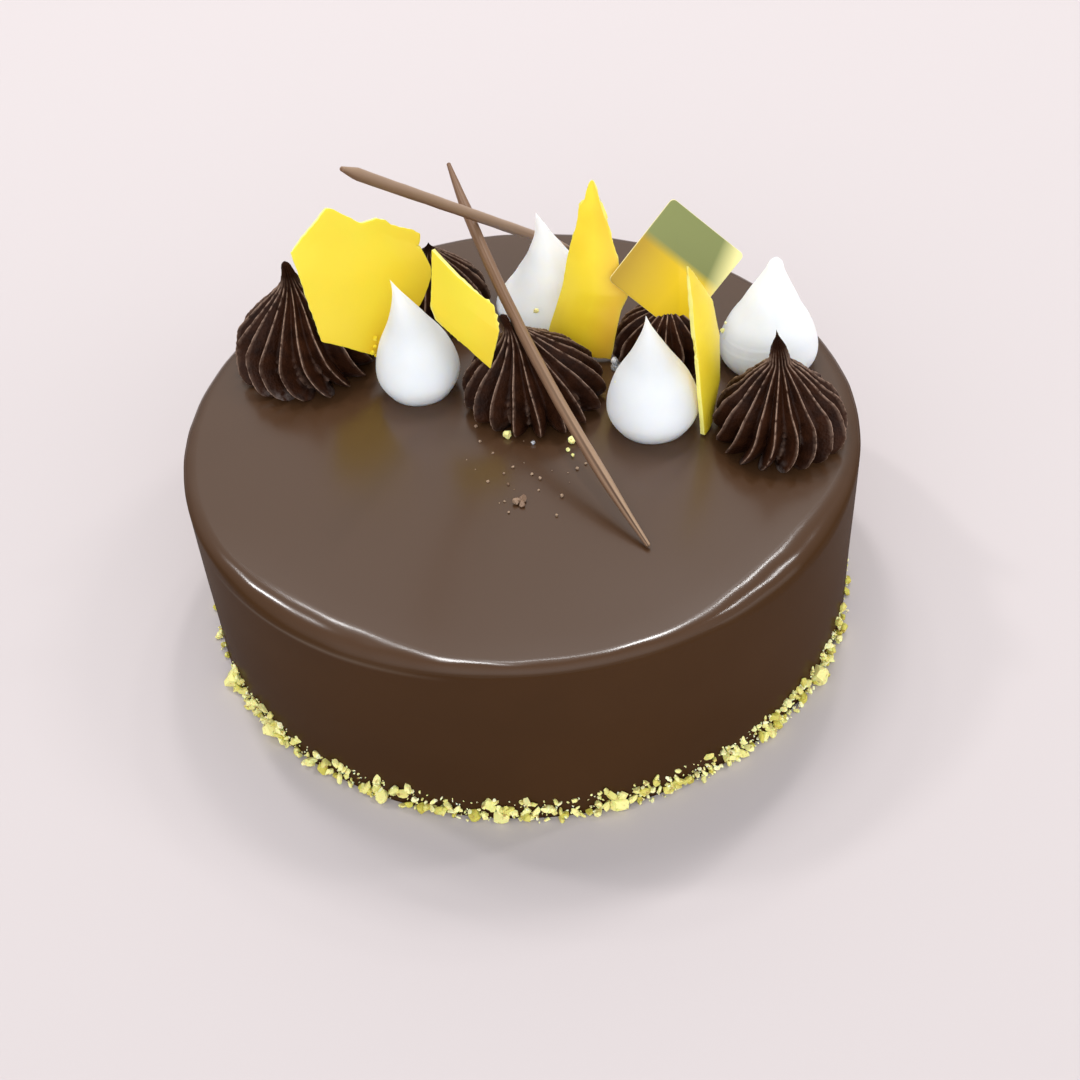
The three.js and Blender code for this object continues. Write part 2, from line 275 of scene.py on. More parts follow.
def cover(tree, shader, colour, *, scale, pits, strength, depth):
    """Gives a shader its colour, and roughens it with the fine relief."""
    tree.links.new(colour, shader.inputs["Base Color"])
    values = {"Scale": scale, "Pits": pits}
    height = add_node(tree, "ShaderNodeGroup", values, node_tree=relief).outputs["Height"]
    values = {"Strength": strength, "Distance": depth, "Height": height}
    bump = add_node(tree, "ShaderNodeBump", values)
    tree.links.new(bump.outputs["Normal"], shader.inputs["Normal"])


GLAZE_DARK = (0.045, 0.0198, 0.0073, 1)
GLAZE_WARM = (0.0518, 0.0228, 0.0084, 1)
GLAZE_PAINTED_LIT_TOP = (0.059, 0.0268, 0.0114, 1)
GLAZE_LAP_HIGHLIGHT = (0.1, 0.066, 0.045, 1)
WALL_FACING_UP = 0.6
TOP_FACING_UP = 0.9
FLAT_FACING_UP = 0.999
WALL_COAT = 0.14
TOP_COAT_ROUGHNESS = 0.22
EDGE_COAT_ROUGHNESS = 0.165


def glaze_finish(name, coat_roughness):
    """Poured glaze: glossy where it lies level and dull on the wall, with painted light that
    colours it lighter where it faces up, and a painted highlight along the lap.
    """
    finish, tree, shader = new_finish(
        name,
        {
            "Roughness": 0.5,
            "Specular IOR Level": 0.0,
            "Coat IOR": 1.48,
            "Coat Roughness": coat_roughness,
        },
    )
    normal = add_node(tree, "ShaderNodeNewGeometry").outputs["Normal"]
    facing_up = add_node(tree, "ShaderNodeSeparateXYZ", {0: normal}).outputs["Z"]
    level = ramped(tree, facing_up, WALL_FACING_UP, TOP_FACING_UP)
    colour = use_mottle(tree, GLAZE_DARK, GLAZE_WARM, scale=18.0)["Color"]
    # Painted light: the glaze is coloured lighter where it faces up, and darker on the wall.
    colour = mixed(tree, level, colour, GLAZE_PAINTED_LIT_TOP)
    # Painted highlight along the lap line.
    colour = mixed(tree, attribute(tree, "lap_highlight"), colour, GLAZE_LAP_HIGHLIGHT)
    inputs = {"Value": level, "To Min": WALL_COAT, "To Max": 1.0}
    shine = add_node(tree, "ShaderNodeMapRange", inputs).outputs["Result"]
    tree.links.new(shine, shader.inputs["Coat Weight"])
    cover(tree, shader, colour, scale=420.0, pits=0.0, strength=0.06, depth=0.1 * MM)
    return finish


body.data.materials.append(glaze_finish("poured_glaze", TOP_COAT_ROUGHNESS))
body.data.materials.append(glaze_finish("poured_glaze_edge", EDGE_COAT_ROUGHNESS))
bent = [int(face.normal.z < FLAT_FACING_UP) for face in body.data.polygons]
body.data.polygons.foreach_set("material_index", bent)
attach(body, "root")
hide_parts("cake")


# Chopped pistachio
# Angular chunks of pale nut pressed round the foot while the glaze is wet: larger ones where
# the CAD body has them, and fine bits between them and a little way up the wall.

NUT_SEED = 4177
NUT_TINT_SEED = 7
NUT_SHAPES = 7
NUT_BALL = 0.6
NUT_CUTS = 9
NUT_CUT_AT = (0.3, 0.48)
NUT_MERGE = 0.06
NUT_COUNT = 84
NUT_SCATTER = 0.8
NUT_SIZE = (1.9, 3.6)
NUT_DEPTH = (0.65, 0.95)
NUT_RISE = (0.6, 0.9)
NUT_LIFT = 0.15 * MM
NUT_STAND_OUT = 0.2
CAD_NUT_CORNERS = 12
CHUNK_ANGLES = (-156, -142, -118, -98, -79, -50, -36, 20, 75, 140)
CHUNK_SIZE = (3.84, 5.76)
CHUNK_FIRST_SHAPE = 3
CHUNK_TINT = 0.75
LARGEST_CHUNK = -156
LARGEST_SCALE = 1.3
BIT_COUNT = 1100
BIT_FRONT = 0.72
BIT_FRONT_ANGLES = (math.radians(-158), math.radians(-22))
BIT_SIZE = (0.45, 2.9)
BIT_SIZE_POWER = 3.2
BIT_LENGTH = 1.2
BIT_WIDTH = (0.6, 0.9)
BIT_DEPTH = (0.45, 0.7)
BIT_CLIMB = 7 * MM
BIT_CLIMB_POWER = 1.5
BIT_SPREAD = 1.5 * MM
BIT_LIFT = 0.05 * MM
BIT_PALER = 0.7


def draws_from(seed):
    """A repeatable run of numbers from 0 to 1."""
    state = seed
    while True:
        state = (state * 16807) % 2147483647
        yield state / 2147483647


def chopped_shape(name, draws):
    """A unit chunk with flat broken faces: a ball cut by planes, its corners then taken off."""
    bpy.ops.object.select_all(action="DESELECT")
    bpy.ops.mesh.primitive_ico_sphere_add(subdivisions=2, radius=NUT_BALL)
    chunk = bpy.context.object
    chunk.name = name
    bpy.ops.object.mode_set(mode="EDIT")
    for _ in range(NUT_CUTS):
        turn = 2 * math.pi * next(draws)
        rise = 2 * next(draws) - 1
        level = math.sqrt(1 - rise * rise)
        facing = Vector((level * math.cos(turn), level * math.sin(turn), rise))
        bpy.ops.mesh.select_all(action="SELECT")
        bpy.ops.mesh.bisect(
            plane_co=facing * between(NUT_CUT_AT, next(draws)),
            plane_no=facing,
            use_fill=True,
            clear_outer=True,
        )
    bpy.ops.mesh.select_all(action="SELECT")
    bpy.ops.mesh.remove_doubles(threshold=NUT_MERGE)
    turn_faces_outward()
    places = places_of(chunk.data)
    faces = [tuple(face.vertices) for face in chunk.data.polygons]
    bpy.data.objects.remove(chunk)
    return places, faces


def joined_bits(name, bits):
    """One piece of many bits, each (places, faces, tint), the tint kept for its colour."""
    all_places, all_faces, tints = [], [], []
    for places, faces, tint in bits:
        start = len(tints)
        all_places.extend(places.tolist())
        all_faces.extend([tuple(start + corner for corner in face) for face in faces])
        tints.extend([tint] * len(places))
    mesh = bpy.data.meshes.new(name)
    mesh.from_pydata(all_places, [], all_faces)
    piece = bpy.data.objects.new(name, mesh)
    note(piece, "tint", tints)
    bpy.context.scene.collection.objects.link(piece)
    return piece


def tumbled(places, draws):
    """Places turned by chance about a leaning axis."""
    turn = Matrix.Rotation(2 * math.pi * next(draws), 3, (next(draws), next(draws), 1))
    return places @ np.array(turn).T


def carried_round(places, angle):
    """Places at the right of the cake, carried round it."""
    return places @ np.array(Matrix.Rotation(angle, 3, "Z")).T


def foot_nut(shape, angle, size, draws):
    """A chunk that stands at the foot of the wall, as large as the CAD chunk there."""
    for _ in range(CAD_NUT_CORNERS):
        next(draws)
    depth = between(NUT_DEPTH, next(draws))
    rise = between(NUT_RISE, next(draws))
    tumble = Matrix.Rotation(next(draws) * math.pi, 3, "X")
    tumble = Matrix.Rotation(next(draws) * math.pi, 3, "Z") @ tumble
    places = shape[0] * (size, size * depth, size * rise) @ np.array(tumble).T
    places += (CAKE_RADIUS + NUT_STAND_OUT * size, 0, NUT_LIFT - places[:, 2].min())
    return carried_round(places, angle), shape[1]


draws = draws_from(NUT_SEED + 1)
nut_shapes = [chopped_shape(f"nut_shape_{i}", draws) for i in range(NUT_SHAPES)]
draws = draws_from(NUT_SEED)
nuts = []
for i in range(NUT_COUNT):
    angle = (i + NUT_SCATTER * next(draws)) / NUT_COUNT * 2 * math.pi
    size = between(NUT_SIZE, next(draws) ** 2) * MM
    tint = next(draws_from(i + NUT_TINT_SEED))
    nuts.append((*foot_nut(nut_shapes[i % NUT_SHAPES], angle, size, draws), tint))
for i, degrees in enumerate(CHUNK_ANGLES):
    size = between(CHUNK_SIZE, next(draws)) * MM
    if degrees == LARGEST_CHUNK:
        size *= LARGEST_SCALE
    shape = nut_shapes[(i + CHUNK_FIRST_SHAPE) % NUT_SHAPES]
    nuts.append((*foot_nut(shape, math.radians(degrees), size, draws), CHUNK_TINT))
for i in range(BIT_COUNT):
    angle = 2 * math.pi * next(draws)
    if next(draws) < BIT_FRONT:
        angle = between(BIT_FRONT_ANGLES, next(draws))
    size = between(BIT_SIZE, next(draws) ** BIT_SIZE_POWER) * MM
    stretch = (BIT_LENGTH, between(BIT_WIDTH, next(draws)), between(BIT_DEPTH, next(draws)))
    shape = nut_shapes[i % NUT_SHAPES]
    places = tumbled(shape[0] * stretch * size, draws)
    climb = BIT_CLIMB * next(draws) ** BIT_CLIMB_POWER
    out = NUT_STAND_OUT * size + BIT_SPREAD * next(draws) * (1 - climb / BIT_CLIMB) ** 2
    places += (CAKE_RADIUS + out, 0, BIT_LIFT + climb - places[:, 2].min())
    tint = next(draws) + BIT_PALER * (1 - size / (BIT_SIZE[1] * MM))
    nuts.append((carried_round(places, angle), shape[1], tint))
pistachio = joined_bits("pistachio", nuts)

NUT_CREAM = (0.97, 0.93, 0.66, 1)
NUT_PALE = (0.96, 0.9, 0.38, 1)
NUT_GREEN = (0.6, 0.53, 0.08, 1)
NUT_SKIN = (0.36, 0.22, 0.045, 1)

nut_finish, tree, shader = new_finish(
    "chopped_nut", {"Roughness": 0.6, "Subsurface Weight": 0.15, "Subsurface Scale": 1 * MM}
)
tint = attribute(tree, "tint")
flesh = mixed(tree, tint, NUT_GREEN, NUT_PALE)
flesh = mixed(tree, ramped(tree, tint, 1.0, 1.5), flesh, NUT_CREAM)
skin = use_mottle(tree, scale=700.0, start=0.58, end=0.72)["Mask"]
flesh = mixed(tree, skin, flesh, NUT_SKIN)
cover(tree, shader, flesh, scale=2600.0, pits=0.4, strength=0.5, depth=0.2 * MM)
pistachio.data.materials.append(nut_finish)
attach(pistachio, "root")
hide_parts("cake")


# Piped rosettes
# Whipped dark chocolate cream pressed out of a star nozzle straight on to the glaze. Each has sharp
# fins that run from fat lobes at the foot up to a drawn-out tip.

CREAM_SEED = 61
FIN_COUNT = 18
POINTS_PER_FIN = 12
FIN_POWER = 0.75
FIN_DRIFT = 0.22
SWAY_LENGTH = 0.5
SWAY_RISE = 1.4
ROSETTE_RINGS = 72
ROSETTE_FLANK = (
    (0.9, 0), (1, 0.13), (0.93, 0.34), (0.68, 0.55), (0.34, 0.765), (0.08, 0.92), (0, 1),
)
UNDERSIDE_RINGS = ((0.3, 0), (0.6, 0))
FLANK_STEPS = 240
TIP_POWER = 2
HOOK_POWER = 9
CREST_SHARE = 0.05
CREST_GATHER = 1.6
CREST_LINE = 0.17 * MM
CREST_FULL = 1.25
CREST_FRAY = 0.34 * MM
FRAY_INWARD = 0.35
FRAY_FADE = 5
ON_CREST = 0.01
IN_GROOVE = 0.99
GROOVE_DEPTH = 0.31
GROOVE_DEPTH_FOOT = 0.1
SPLIT_CHANCE = 0.4
SPLIT_RISE = 0.45
SPLIT_CREST = 0.25
NIB_SHARE = 0.1
FOOT_SHARE = 0.35
FAT_SHARE = 0.26
FAT_POWER = 2.2
LOBE_CHANGE = 0.07
LOBE_LENGTH = 0.37
LOBE_APART = 9
GLEAM_RISE = 0.09
GLEAM_FULL = 1.4
CREAM_WAVE = 0.3 * MM
CREAM_WAVE_LENGTH = 2.6 * MM
UPPER_WAVE = 0.4
SWAY_SHIFT, LOBE_SHIFT, WAVE_SHIFT = 11.7, 5.3, 3.1
ROSETTES = {
    "rosette_1": {
        "x": -58, "y": 33, "radius": 19.5, "height": 33.2, "tip": -0.9, "hook": -0.4, "turn": 4,
        "sweep": 22, "slump": 1.8,
        "flank": (
            (0.86, 0), (0.98, 0.05), (1, 0.13), (0.93, 0.32), (0.78, 0.43), (0.55, 0.56),
            (0.31, 0.69), (0.17, 0.78), (0.11, 0.855), (0.08, 0.92), (0.055, 0.97), (0, 1),
        ),
    },
    "rosette_2": {
        "x": -21.5, "y": 52, "radius": 16, "height": 23, "tip": 0, "hook": 0, "turn": 9,
        "sweep": 8, "slump": 0,
        "flank": ROSETTE_FLANK,
    },
    "rosette_3": {
        "x": 4.7, "y": 8.7, "radius": 19.5, "height": 28, "tip": -6, "hook": -1.3, "turn": 0,
        "sweep": 3, "slump": 0,
        "flank": (
            (0.86, 0), (0.98, 0.05), (1, 0.13), (0.95, 0.24), (0.85, 0.34), (0.71, 0.45),
            (0.53, 0.55), (0.35, 0.66), (0.2, 0.765), (0.12, 0.84), (0.08, 0.92), (0.05, 0.97),
            (0, 1),
        ),
    },
    "rosette_4": {
        "x": 41.6, "y": 22.8, "radius": 14.2, "height": 15.6, "tip": 1, "hook": 0, "turn": 14,
        "sweep": -6, "slump": 0,
        "flank": (
            (0.9, 0), (1, 0.13), (0.98, 0.36), (0.88, 0.58), (0.68, 0.78), (0.42, 0.92),
            (0.2, 0.98), (0, 1),
        ),
    },
    "rosette_5": {
        "x": 67.3, "y": -14.8, "radius": 17.4, "height": 34, "tip": -2.2, "hook": -0.3, "turn": 7,
        "sweep": -14, "slump": 0,
        "flank": (
            (0.88, 0), (0.97, 0.05), (1, 0.13), (0.97, 0.21), (0.84, 0.34), (0.62, 0.45),
            (0.44, 0.56), (0.28, 0.645), (0.17, 0.7), (0.14, 0.77), (0.1, 0.85), (0.03, 0.93),
            (0.012, 0.965), (0, 1),
        ),
    },
}
PRESSED_ROSETTE = "rosette_3"
PRESSED_FROM = 0.3


def smooth_line(points, count):
    """Points along a smooth line through the given ones, evenly shared between them."""
    row = np.array(points, float)
    row = np.vstack([row[:1], row, row[-1:]])
    line = []
    for i in range(count + 1):
        share = i / count * (len(points) - 1)
        k = min(int(share), len(points) - 2)
        t = share - k
        a, b, c, d = row[k : k + 4]
        bend = 2 * a - 5 * b + 4 * c - d
        twist = 3 * b - a - 3 * c + d
        line.append(0.5 * (2 * b + (c - a) * t + bend * t**2 + twist * t**3))
    return line


def turned(name, flank, steps):
    """A closed unit form: a flank drawn point by point from the foot's middle, spun about +Z."""
    bpy.ops.object.select_all(action="DESELECT")
    bpy.ops.mesh.primitive_plane_add(size=0.01)
    form = bpy.context.object
    form.name = name
    bpy.ops.object.mode_set(mode="EDIT")
    bpy.ops.mesh.select_mode(type="VERT")
    bpy.ops.mesh.select_all(action="SELECT")
    bpy.ops.mesh.merge(type="CENTER")
    at = (0, 0)
    for radius, height in flank:
        step = (radius - at[0], 0, height - at[1])
        bpy.ops.mesh.extrude_region_move(TRANSFORM_OT_translate={"value": step})
        at = (radius, height)
    bpy.ops.mesh.select_all(action="SELECT")
    bpy.ops.mesh.spin(steps=steps, angle=2 * math.pi, center=(0, 0, 0), axis=(0, 0, 1))
    bpy.ops.mesh.select_all(action="SELECT")
    bpy.ops.mesh.remove_doubles(threshold=1e-5)
    turn_faces_outward()
    return form


def piped_form(name, flank, rings, sides):
    """The unit form of a piped piece: a flat underside, then the flank in rings up to the tip."""
    line = [(max(radius, 0), height) for radius, height in smooth_line(flank, rings)]
    return turned(name, [*UNDERSIDE_RINGS, *line[:-1], (0, 1)], sides)


def flank_widths(unit, flank, form_flank):
    """How wide a piece with a flank of its own is at each vertex of its unit form."""
    rise = held(unit[:, 2])
    line = np.array(smooth_line(flank, FLANK_STEPS))
    widths = np.interp(rise, line[:, 1], np.maximum(line[:, 0], 0))
    under = rise < 1e-6
    widths[under] = np.hypot(unit[under, 0], unit[under, 1]) * flank[0][0] / form_flank[0][0]
    return widths


def copy_of(form, name):
    """A copy of a form with its own mesh, in the scene."""
    piece = form.copy()
    piece.data = form.data.copy()
    piece.name = piece.data.name = name
    bpy.context.scene.collection.objects.link(piece)
    return piece


# The front stick presses a channel into a rosette, so the lines of the sticks are set out here
STICKS = {
    "stick_1": {"start": (28.8, -53.3, 56.5), "pull": (0.8, 0.7, 77.4), "end": (-13.8, 59.7, 98.3)},
    "stick_2": {
        "start": (19.8, 74.7, 57.2), "pull": (-8.2, 35.8, 96.9), "end": (-36.2, -3.1, 136.6)
    },
}
FRONT_STICK = "stick_1"
STICK_RADIUS = 1.6 * MM
CHANNEL_STEPS = 160
CHANNEL_ROOM = 0.25 * MM
CHANNEL_HEIGHT = 4 * STICK_RADIUS


def stick_line(spec, share):
    """The place on a stick's middle line a share of the way along it."""
    start, pull, end = (np.array(spec[key]) * MM for key in ("start", "pull", "end"))
    share = np.asarray(share, float)[..., None]
    return (1 - share) ** 2 * start + 2 * share * (1 - share) * pull + share**2 * end


def pressed_by_stick(places, centre, spec):
    """Cream under a stick is pressed down into a channel that the stick lies in."""
    line = stick_line(spec, np.linspace(0, 1, CHANNEL_STEPS))
    along = line[-1] - line[0]
    along /= np.linalg.norm(along)
    nearest = line[np.linalg.norm(places[:, None] - line[None], axis=2).argmin(1)]
    out = nearest - centre
    out -= along * (out @ along)[:, None]
    out /= np.linalg.norm(out, axis=1)[:, None]
    off = places - nearest
    rise = (off * out).sum(1)
    aside = np.linalg.norm(off - out * rise[:, None] - along * (off @ along)[:, None], axis=1)
    reach = STICK_RADIUS + CHANNEL_ROOM
    floor = -np.sqrt(np.clip(reach**2 - aside**2, 0, None))
    under = (aside < reach) & (rise > floor) & (rise < CHANNEL_HEIGHT)
    places[under] += out[under] * (floor - rise)[under, None]
    return places


rosette_form = piped_form("rosette_form", ROSETTE_FLANK, ROSETTE_RINGS, FIN_COUNT * POINTS_PER_FIN)
rosettes = []
for order, (name, spec) in enumerate(ROSETTES.items()):
    piece = copy_of(rosette_form, name + "_cream")
    unit = places_of(piece.data)
    chance = np.random.default_rng(CREAM_SEED + order)
    radius, height = spec["radius"] * MM, spec["height"] * MM
    rise = held(unit[:, 2])
    foot = held(1 - rise / FOOT_SHARE)
    share = flank_widths(unit, spec["flank"], ROSETTE_FLANK)

    # Each vertex belongs to the nearest fin, and u is 0 on its crest and 1 in the groove beside it
    count = np.arctan2(unit[:, 0], -unit[:, 1]) / (2 * np.pi) * FIN_COUNT
    fin = np.round(count)
    aside = 2 * (count - fin)
    u = np.abs(aside) ** CREST_GATHER
    fin_angle = fin / FIN_COUNT * 2 * np.pi
    around = np.column_stack([np.cos(fin_angle), np.sin(fin_angle)])
    sway = drift(np.column_stack([around, rise * SWAY_RISE]), SWAY_LENGTH, SWAY_SHIFT * order)
    angle = (fin + np.sign(aside) * u / 2 + FIN_DRIFT * sway) / FIN_COUNT * 2 * np.pi
    angle += math.radians(spec["turn"]) + math.radians(spec["sweep"]) * foot**2

    # Grooves are cut between the fins, rounder at the fat foot, and some are split by a low ridge
    hollow = held((u - CREST_SHARE) / (1 - CREST_SHARE)) ** FIN_POWER
    hollow += (u**FAT_POWER - hollow) * held(1 - rise / FAT_SHARE)
    split = chance.random(FIN_COUNT) < SPLIT_CHANCE
    in_groove = u > IN_GROOVE
    groove = np.floor(count + 0.5 * np.sign(aside) * in_groove + 0.25).astype(int) % FIN_COUNT
    ridge = in_groove * split[groove] * held(3 * foot) * held(rise * 12)
    hollow *= 1 - SPLIT_RISE * ridge
    depth = GROOVE_DEPTH + GROOVE_DEPTH_FOOT * foot
    apart = np.column_stack([around * LOBE_APART, rise * 0])
    lobe = 1 + LOBE_CHANGE * foot * drift(apart, LOBE_LENGTH, LOBE_SHIFT * order)
    fray = (u < ON_CREST) * (chance.random(len(u)) - FRAY_INWARD) * held(share * FRAY_FADE)
    width = radius * share * (1 - depth * hollow) * lobe + CREST_FRAY * fray

    places = np.column_stack([width * np.sin(angle), -width * np.cos(angle), rise * height])
    wave = drift(places, CREAM_WAVE_LENGTH, WAVE_SHIFT * order) * between((UPPER_WAVE, 1), foot)
    places[:, :2] *= (1 + CREAM_WAVE / radius * wave)[:, None]
    places[:, 0] += spec["tip"] * MM * rise**TIP_POWER + spec["hook"] * MM * rise**HOOK_POWER
    places[:, 1] -= spec["slump"] * MM * (1 - rise) ** 2
    places += (spec["x"] * MM, spec["y"] * MM, CAKE_HEIGHT)
    if name == PRESSED_ROSETTE:
        middle = np.array((spec["x"] * MM, spec["y"] * MM, CAKE_HEIGHT + PRESSED_FROM * height))
        places = pressed_by_stick(places, middle, STICKS[FRONT_STICK])
    put_places(piece.data, places)

    # The pale line on each crest is partly the drier cream there and partly a painted highlight.
    off_crest = u * math.pi * radius * share / FIN_COUNT
    crest = np.maximum(held(CREST_FULL - off_crest / CREST_LINE), SPLIT_CREST * ridge)
    crest *= held((share - NIB_SHARE) * 12) * held(0.15 + rise * 9)
    # Painted highlights: pale glints on the fat lobes at the foot, stronger on some fins than
    # others.
    fin_gleam = chance.random(FIN_COUNT)[fin.astype(int) % FIN_COUNT] ** 2
    note(piece, "crest", crest)
    note(piece, "gleam", held(GLEAM_FULL - rise / GLEAM_RISE) * fin_gleam)
    piece.data.shade_smooth()
    rosettes.append(piece)
bpy.data.objects.remove(rosette_form)

CREAM_DARK = (0.016, 0.0048, 0.002, 1)
CREAM_WARM = (0.036, 0.0112, 0.0042, 1)
CREAM_GLEAM = (0.15, 0.116, 0.104, 1)
CREAM_DRY_AND_LIT_CREST = (0.34, 0.22, 0.16, 1)

cream, tree, shader = new_finish("piped_cream", {"Roughness": 0.5, "Specular IOR Level": 0.1})
soft = use_mottle(tree, CREAM_DARK, CREAM_WARM, scale=260.0)["Color"]
# Painted highlights on the foot lobes, in spots.
gleam_spots = use_mottle(tree, scale=420.0, start=0.42, end=0.62)["Mask"]
soft = mixed(tree, maths(tree, "MULTIPLY", attribute(tree, "gleam"), gleam_spots), soft, CREAM_GLEAM)
broken = use_mottle(tree, scale=700.0, start=0.3, end=0.55)["Mask"]
# Crest lines: drier cream and a painted highlight.
soft = mixed(tree, maths(tree, "MULTIPLY", attribute(tree, "crest"), broken), soft, CREAM_DRY_AND_LIT_CREST)
cover(tree, shader, soft, scale=1500.0, pits=0.7, strength=0.55, depth=0.25 * MM)
for piece in rosettes:
    piece.data.materials.append(cream)
    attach(piece, "root")
    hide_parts(piece.name.removesuffix("_cream"))


# Meringue drops
# Whipped egg white and sugar piped with a round nozzle, dried until firm, and stood on the glaze.
# They are smooth, with a full foot and a tip that leans over where the nozzle was pulled away.

MERINGUE_SIDES = 96
MERINGUE_RINGS = 110
DROP_FLANK = ((0.78, 0), (1, 0.16), (0.84, 0.4), (0.45, 0.64), (0.12, 0.87), (0, 1))
BROAD_FLANK = (
    (0.82, 0), (1, 0.07), (0.9, 0.17), (0.71, 0.3), (0.57, 0.41), (0.41, 0.53), (0.28, 0.65),
    (0.17, 0.76), (0.09, 0.87), (0, 1),
)
BLUNT_FLANK = (
    (0.78, 0), (0.93, 0.07), (0.97, 0.16), (0.91, 0.28), (0.79, 0.4), (0.62, 0.52), (0.48, 0.64),
    (0.33, 0.76), (0.2, 0.87), (0.12, 0.955), (0, 1),
)
OWN_FLANKS = {"meringue_2": BROAD_FLANK, "meringue_4": BLUNT_FLANK}
MERINGUES = {
    "meringue_1": {"x": -26.3, "y": 17.1, "radius": 11.4, "height": 35.6, "tip": -4.3},
    "meringue_2": {"x": 12.3, "y": 48.2, "radius": 16.2, "height": 32.4, "tip": -3.3},
    "meringue_3": {"x": 35.2, "y": -5.7, "radius": 12.2, "height": 34.5, "tip": -1.6},
    "meringue_4": {"x": 69.4, "y": 17, "radius": 13.8, "height": 33.2, "tip": 0.9},
}
DROP_TIP_POWER = 3
DROP_WAVE = 0.012
DROP_WAVE_LENGTH = 0.55
DROP_SHIFT = 4.9
# Painted light: how far up a drop is coloured lighter, and which drops are lightened all over, and
# how much
PAINTED_LIGHT_RISE = 0.6
PAINTED_LIGHT_DROPS = {"meringue_2": 1.0, "meringue_4": 0.5}
CREASED_DROP = "meringue_4"
CREASE_DEPTH = 0.3 * MM
CREASE_HALF = 0.012
CREASES = ((0.26, 0.05), (0.33, 0.04))
CREASE_TURN = math.radians(-120)

drop_form = piped_form("drop_form", DROP_FLANK, MERINGUE_RINGS, MERINGUE_SIDES)
drops = []
for order, (name, spec) in enumerate(MERINGUES.items()):
    piece = copy_of(drop_form, name + "_drop")
    unit = places_of(piece.data)
    rise = held(unit[:, 2])
    turn = np.arctan2(unit[:, 1], unit[:, 0])
    width = spec["radius"] * MM * flank_widths(unit, OWN_FLANKS.get(name, DROP_FLANK), DROP_FLANK)
    width *= 1 + DROP_WAVE * drift(unit, DROP_WAVE_LENGTH, DROP_SHIFT * order)
    if name == CREASED_DROP:
        near = held(np.cos(turn - CREASE_TURN)) ** 2
        for height, slope in CREASES:
            off = (rise - height - slope * np.sin(turn - CREASE_TURN)) / CREASE_HALF
            width -= CREASE_DEPTH * near * off * np.exp(-(off**2))
    up = rise * spec["height"] * MM
    places = np.column_stack([width * np.cos(turn), width * np.sin(turn), up])
    places[:, 0] += spec["tip"] * MM * rise**DROP_TIP_POWER
    places += (spec["x"] * MM, spec["y"] * MM, CAKE_HEIGHT)
    put_places(piece.data, places)
    # Painted light: each drop is coloured lighter towards its foot, where it is in shade, and the
    # drops in the most shade are lightened all over.
    note(piece, "painted_light", np.clip(1 - rise / PAINTED_LIGHT_RISE, PAINTED_LIGHT_DROPS.get(name, 0), 1))
    piece.data.shade_smooth()
    drops.append(piece)
bpy.data.objects.remove(drop_form)

# The drops' own white is set dull, and painted light makes it near white towards the foot.
MERINGUE_WHITE = (0.68, 0.69, 0.7, 1)
MERINGUE_SHADE = (0.65, 0.665, 0.68, 1)
MERINGUE_PAINTED_LIGHT = (0.975, 0.985, 0.995, 1)

meringue, tree, shader = new_finish(
    "dried_meringue",
    {
        "Roughness": 0.5,
        "Subsurface Weight": 1.0,
        "Subsurface Scale": 9 * MM,
        "Subsurface Radius": (1.0, 0.9, 0.75),
    },
)
chalk = use_mottle(tree, MERINGUE_SHADE, MERINGUE_WHITE, scale=90.0, start=0.3, end=0.55)["Color"]
chalk = mixed(tree, attribute(tree, "painted_light"), chalk, MERINGUE_PAINTED_LIGHT)
cover(tree, shader, chalk, scale=1800.0, pits=0.15, strength=0.12, depth=0.1 * MM)
for piece in drops:
    piece.data.materials.append(meringue)
    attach(piece, "root")
    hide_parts(piece.name.removesuffix("_drop"))


# Yellow chocolate shards
# Coloured white chocolate spread thin, set, and broken into plates by hand. Each stands on the
# glaze or is pushed into a rosette, leans back and bows a little. Its edge is paler than its face.

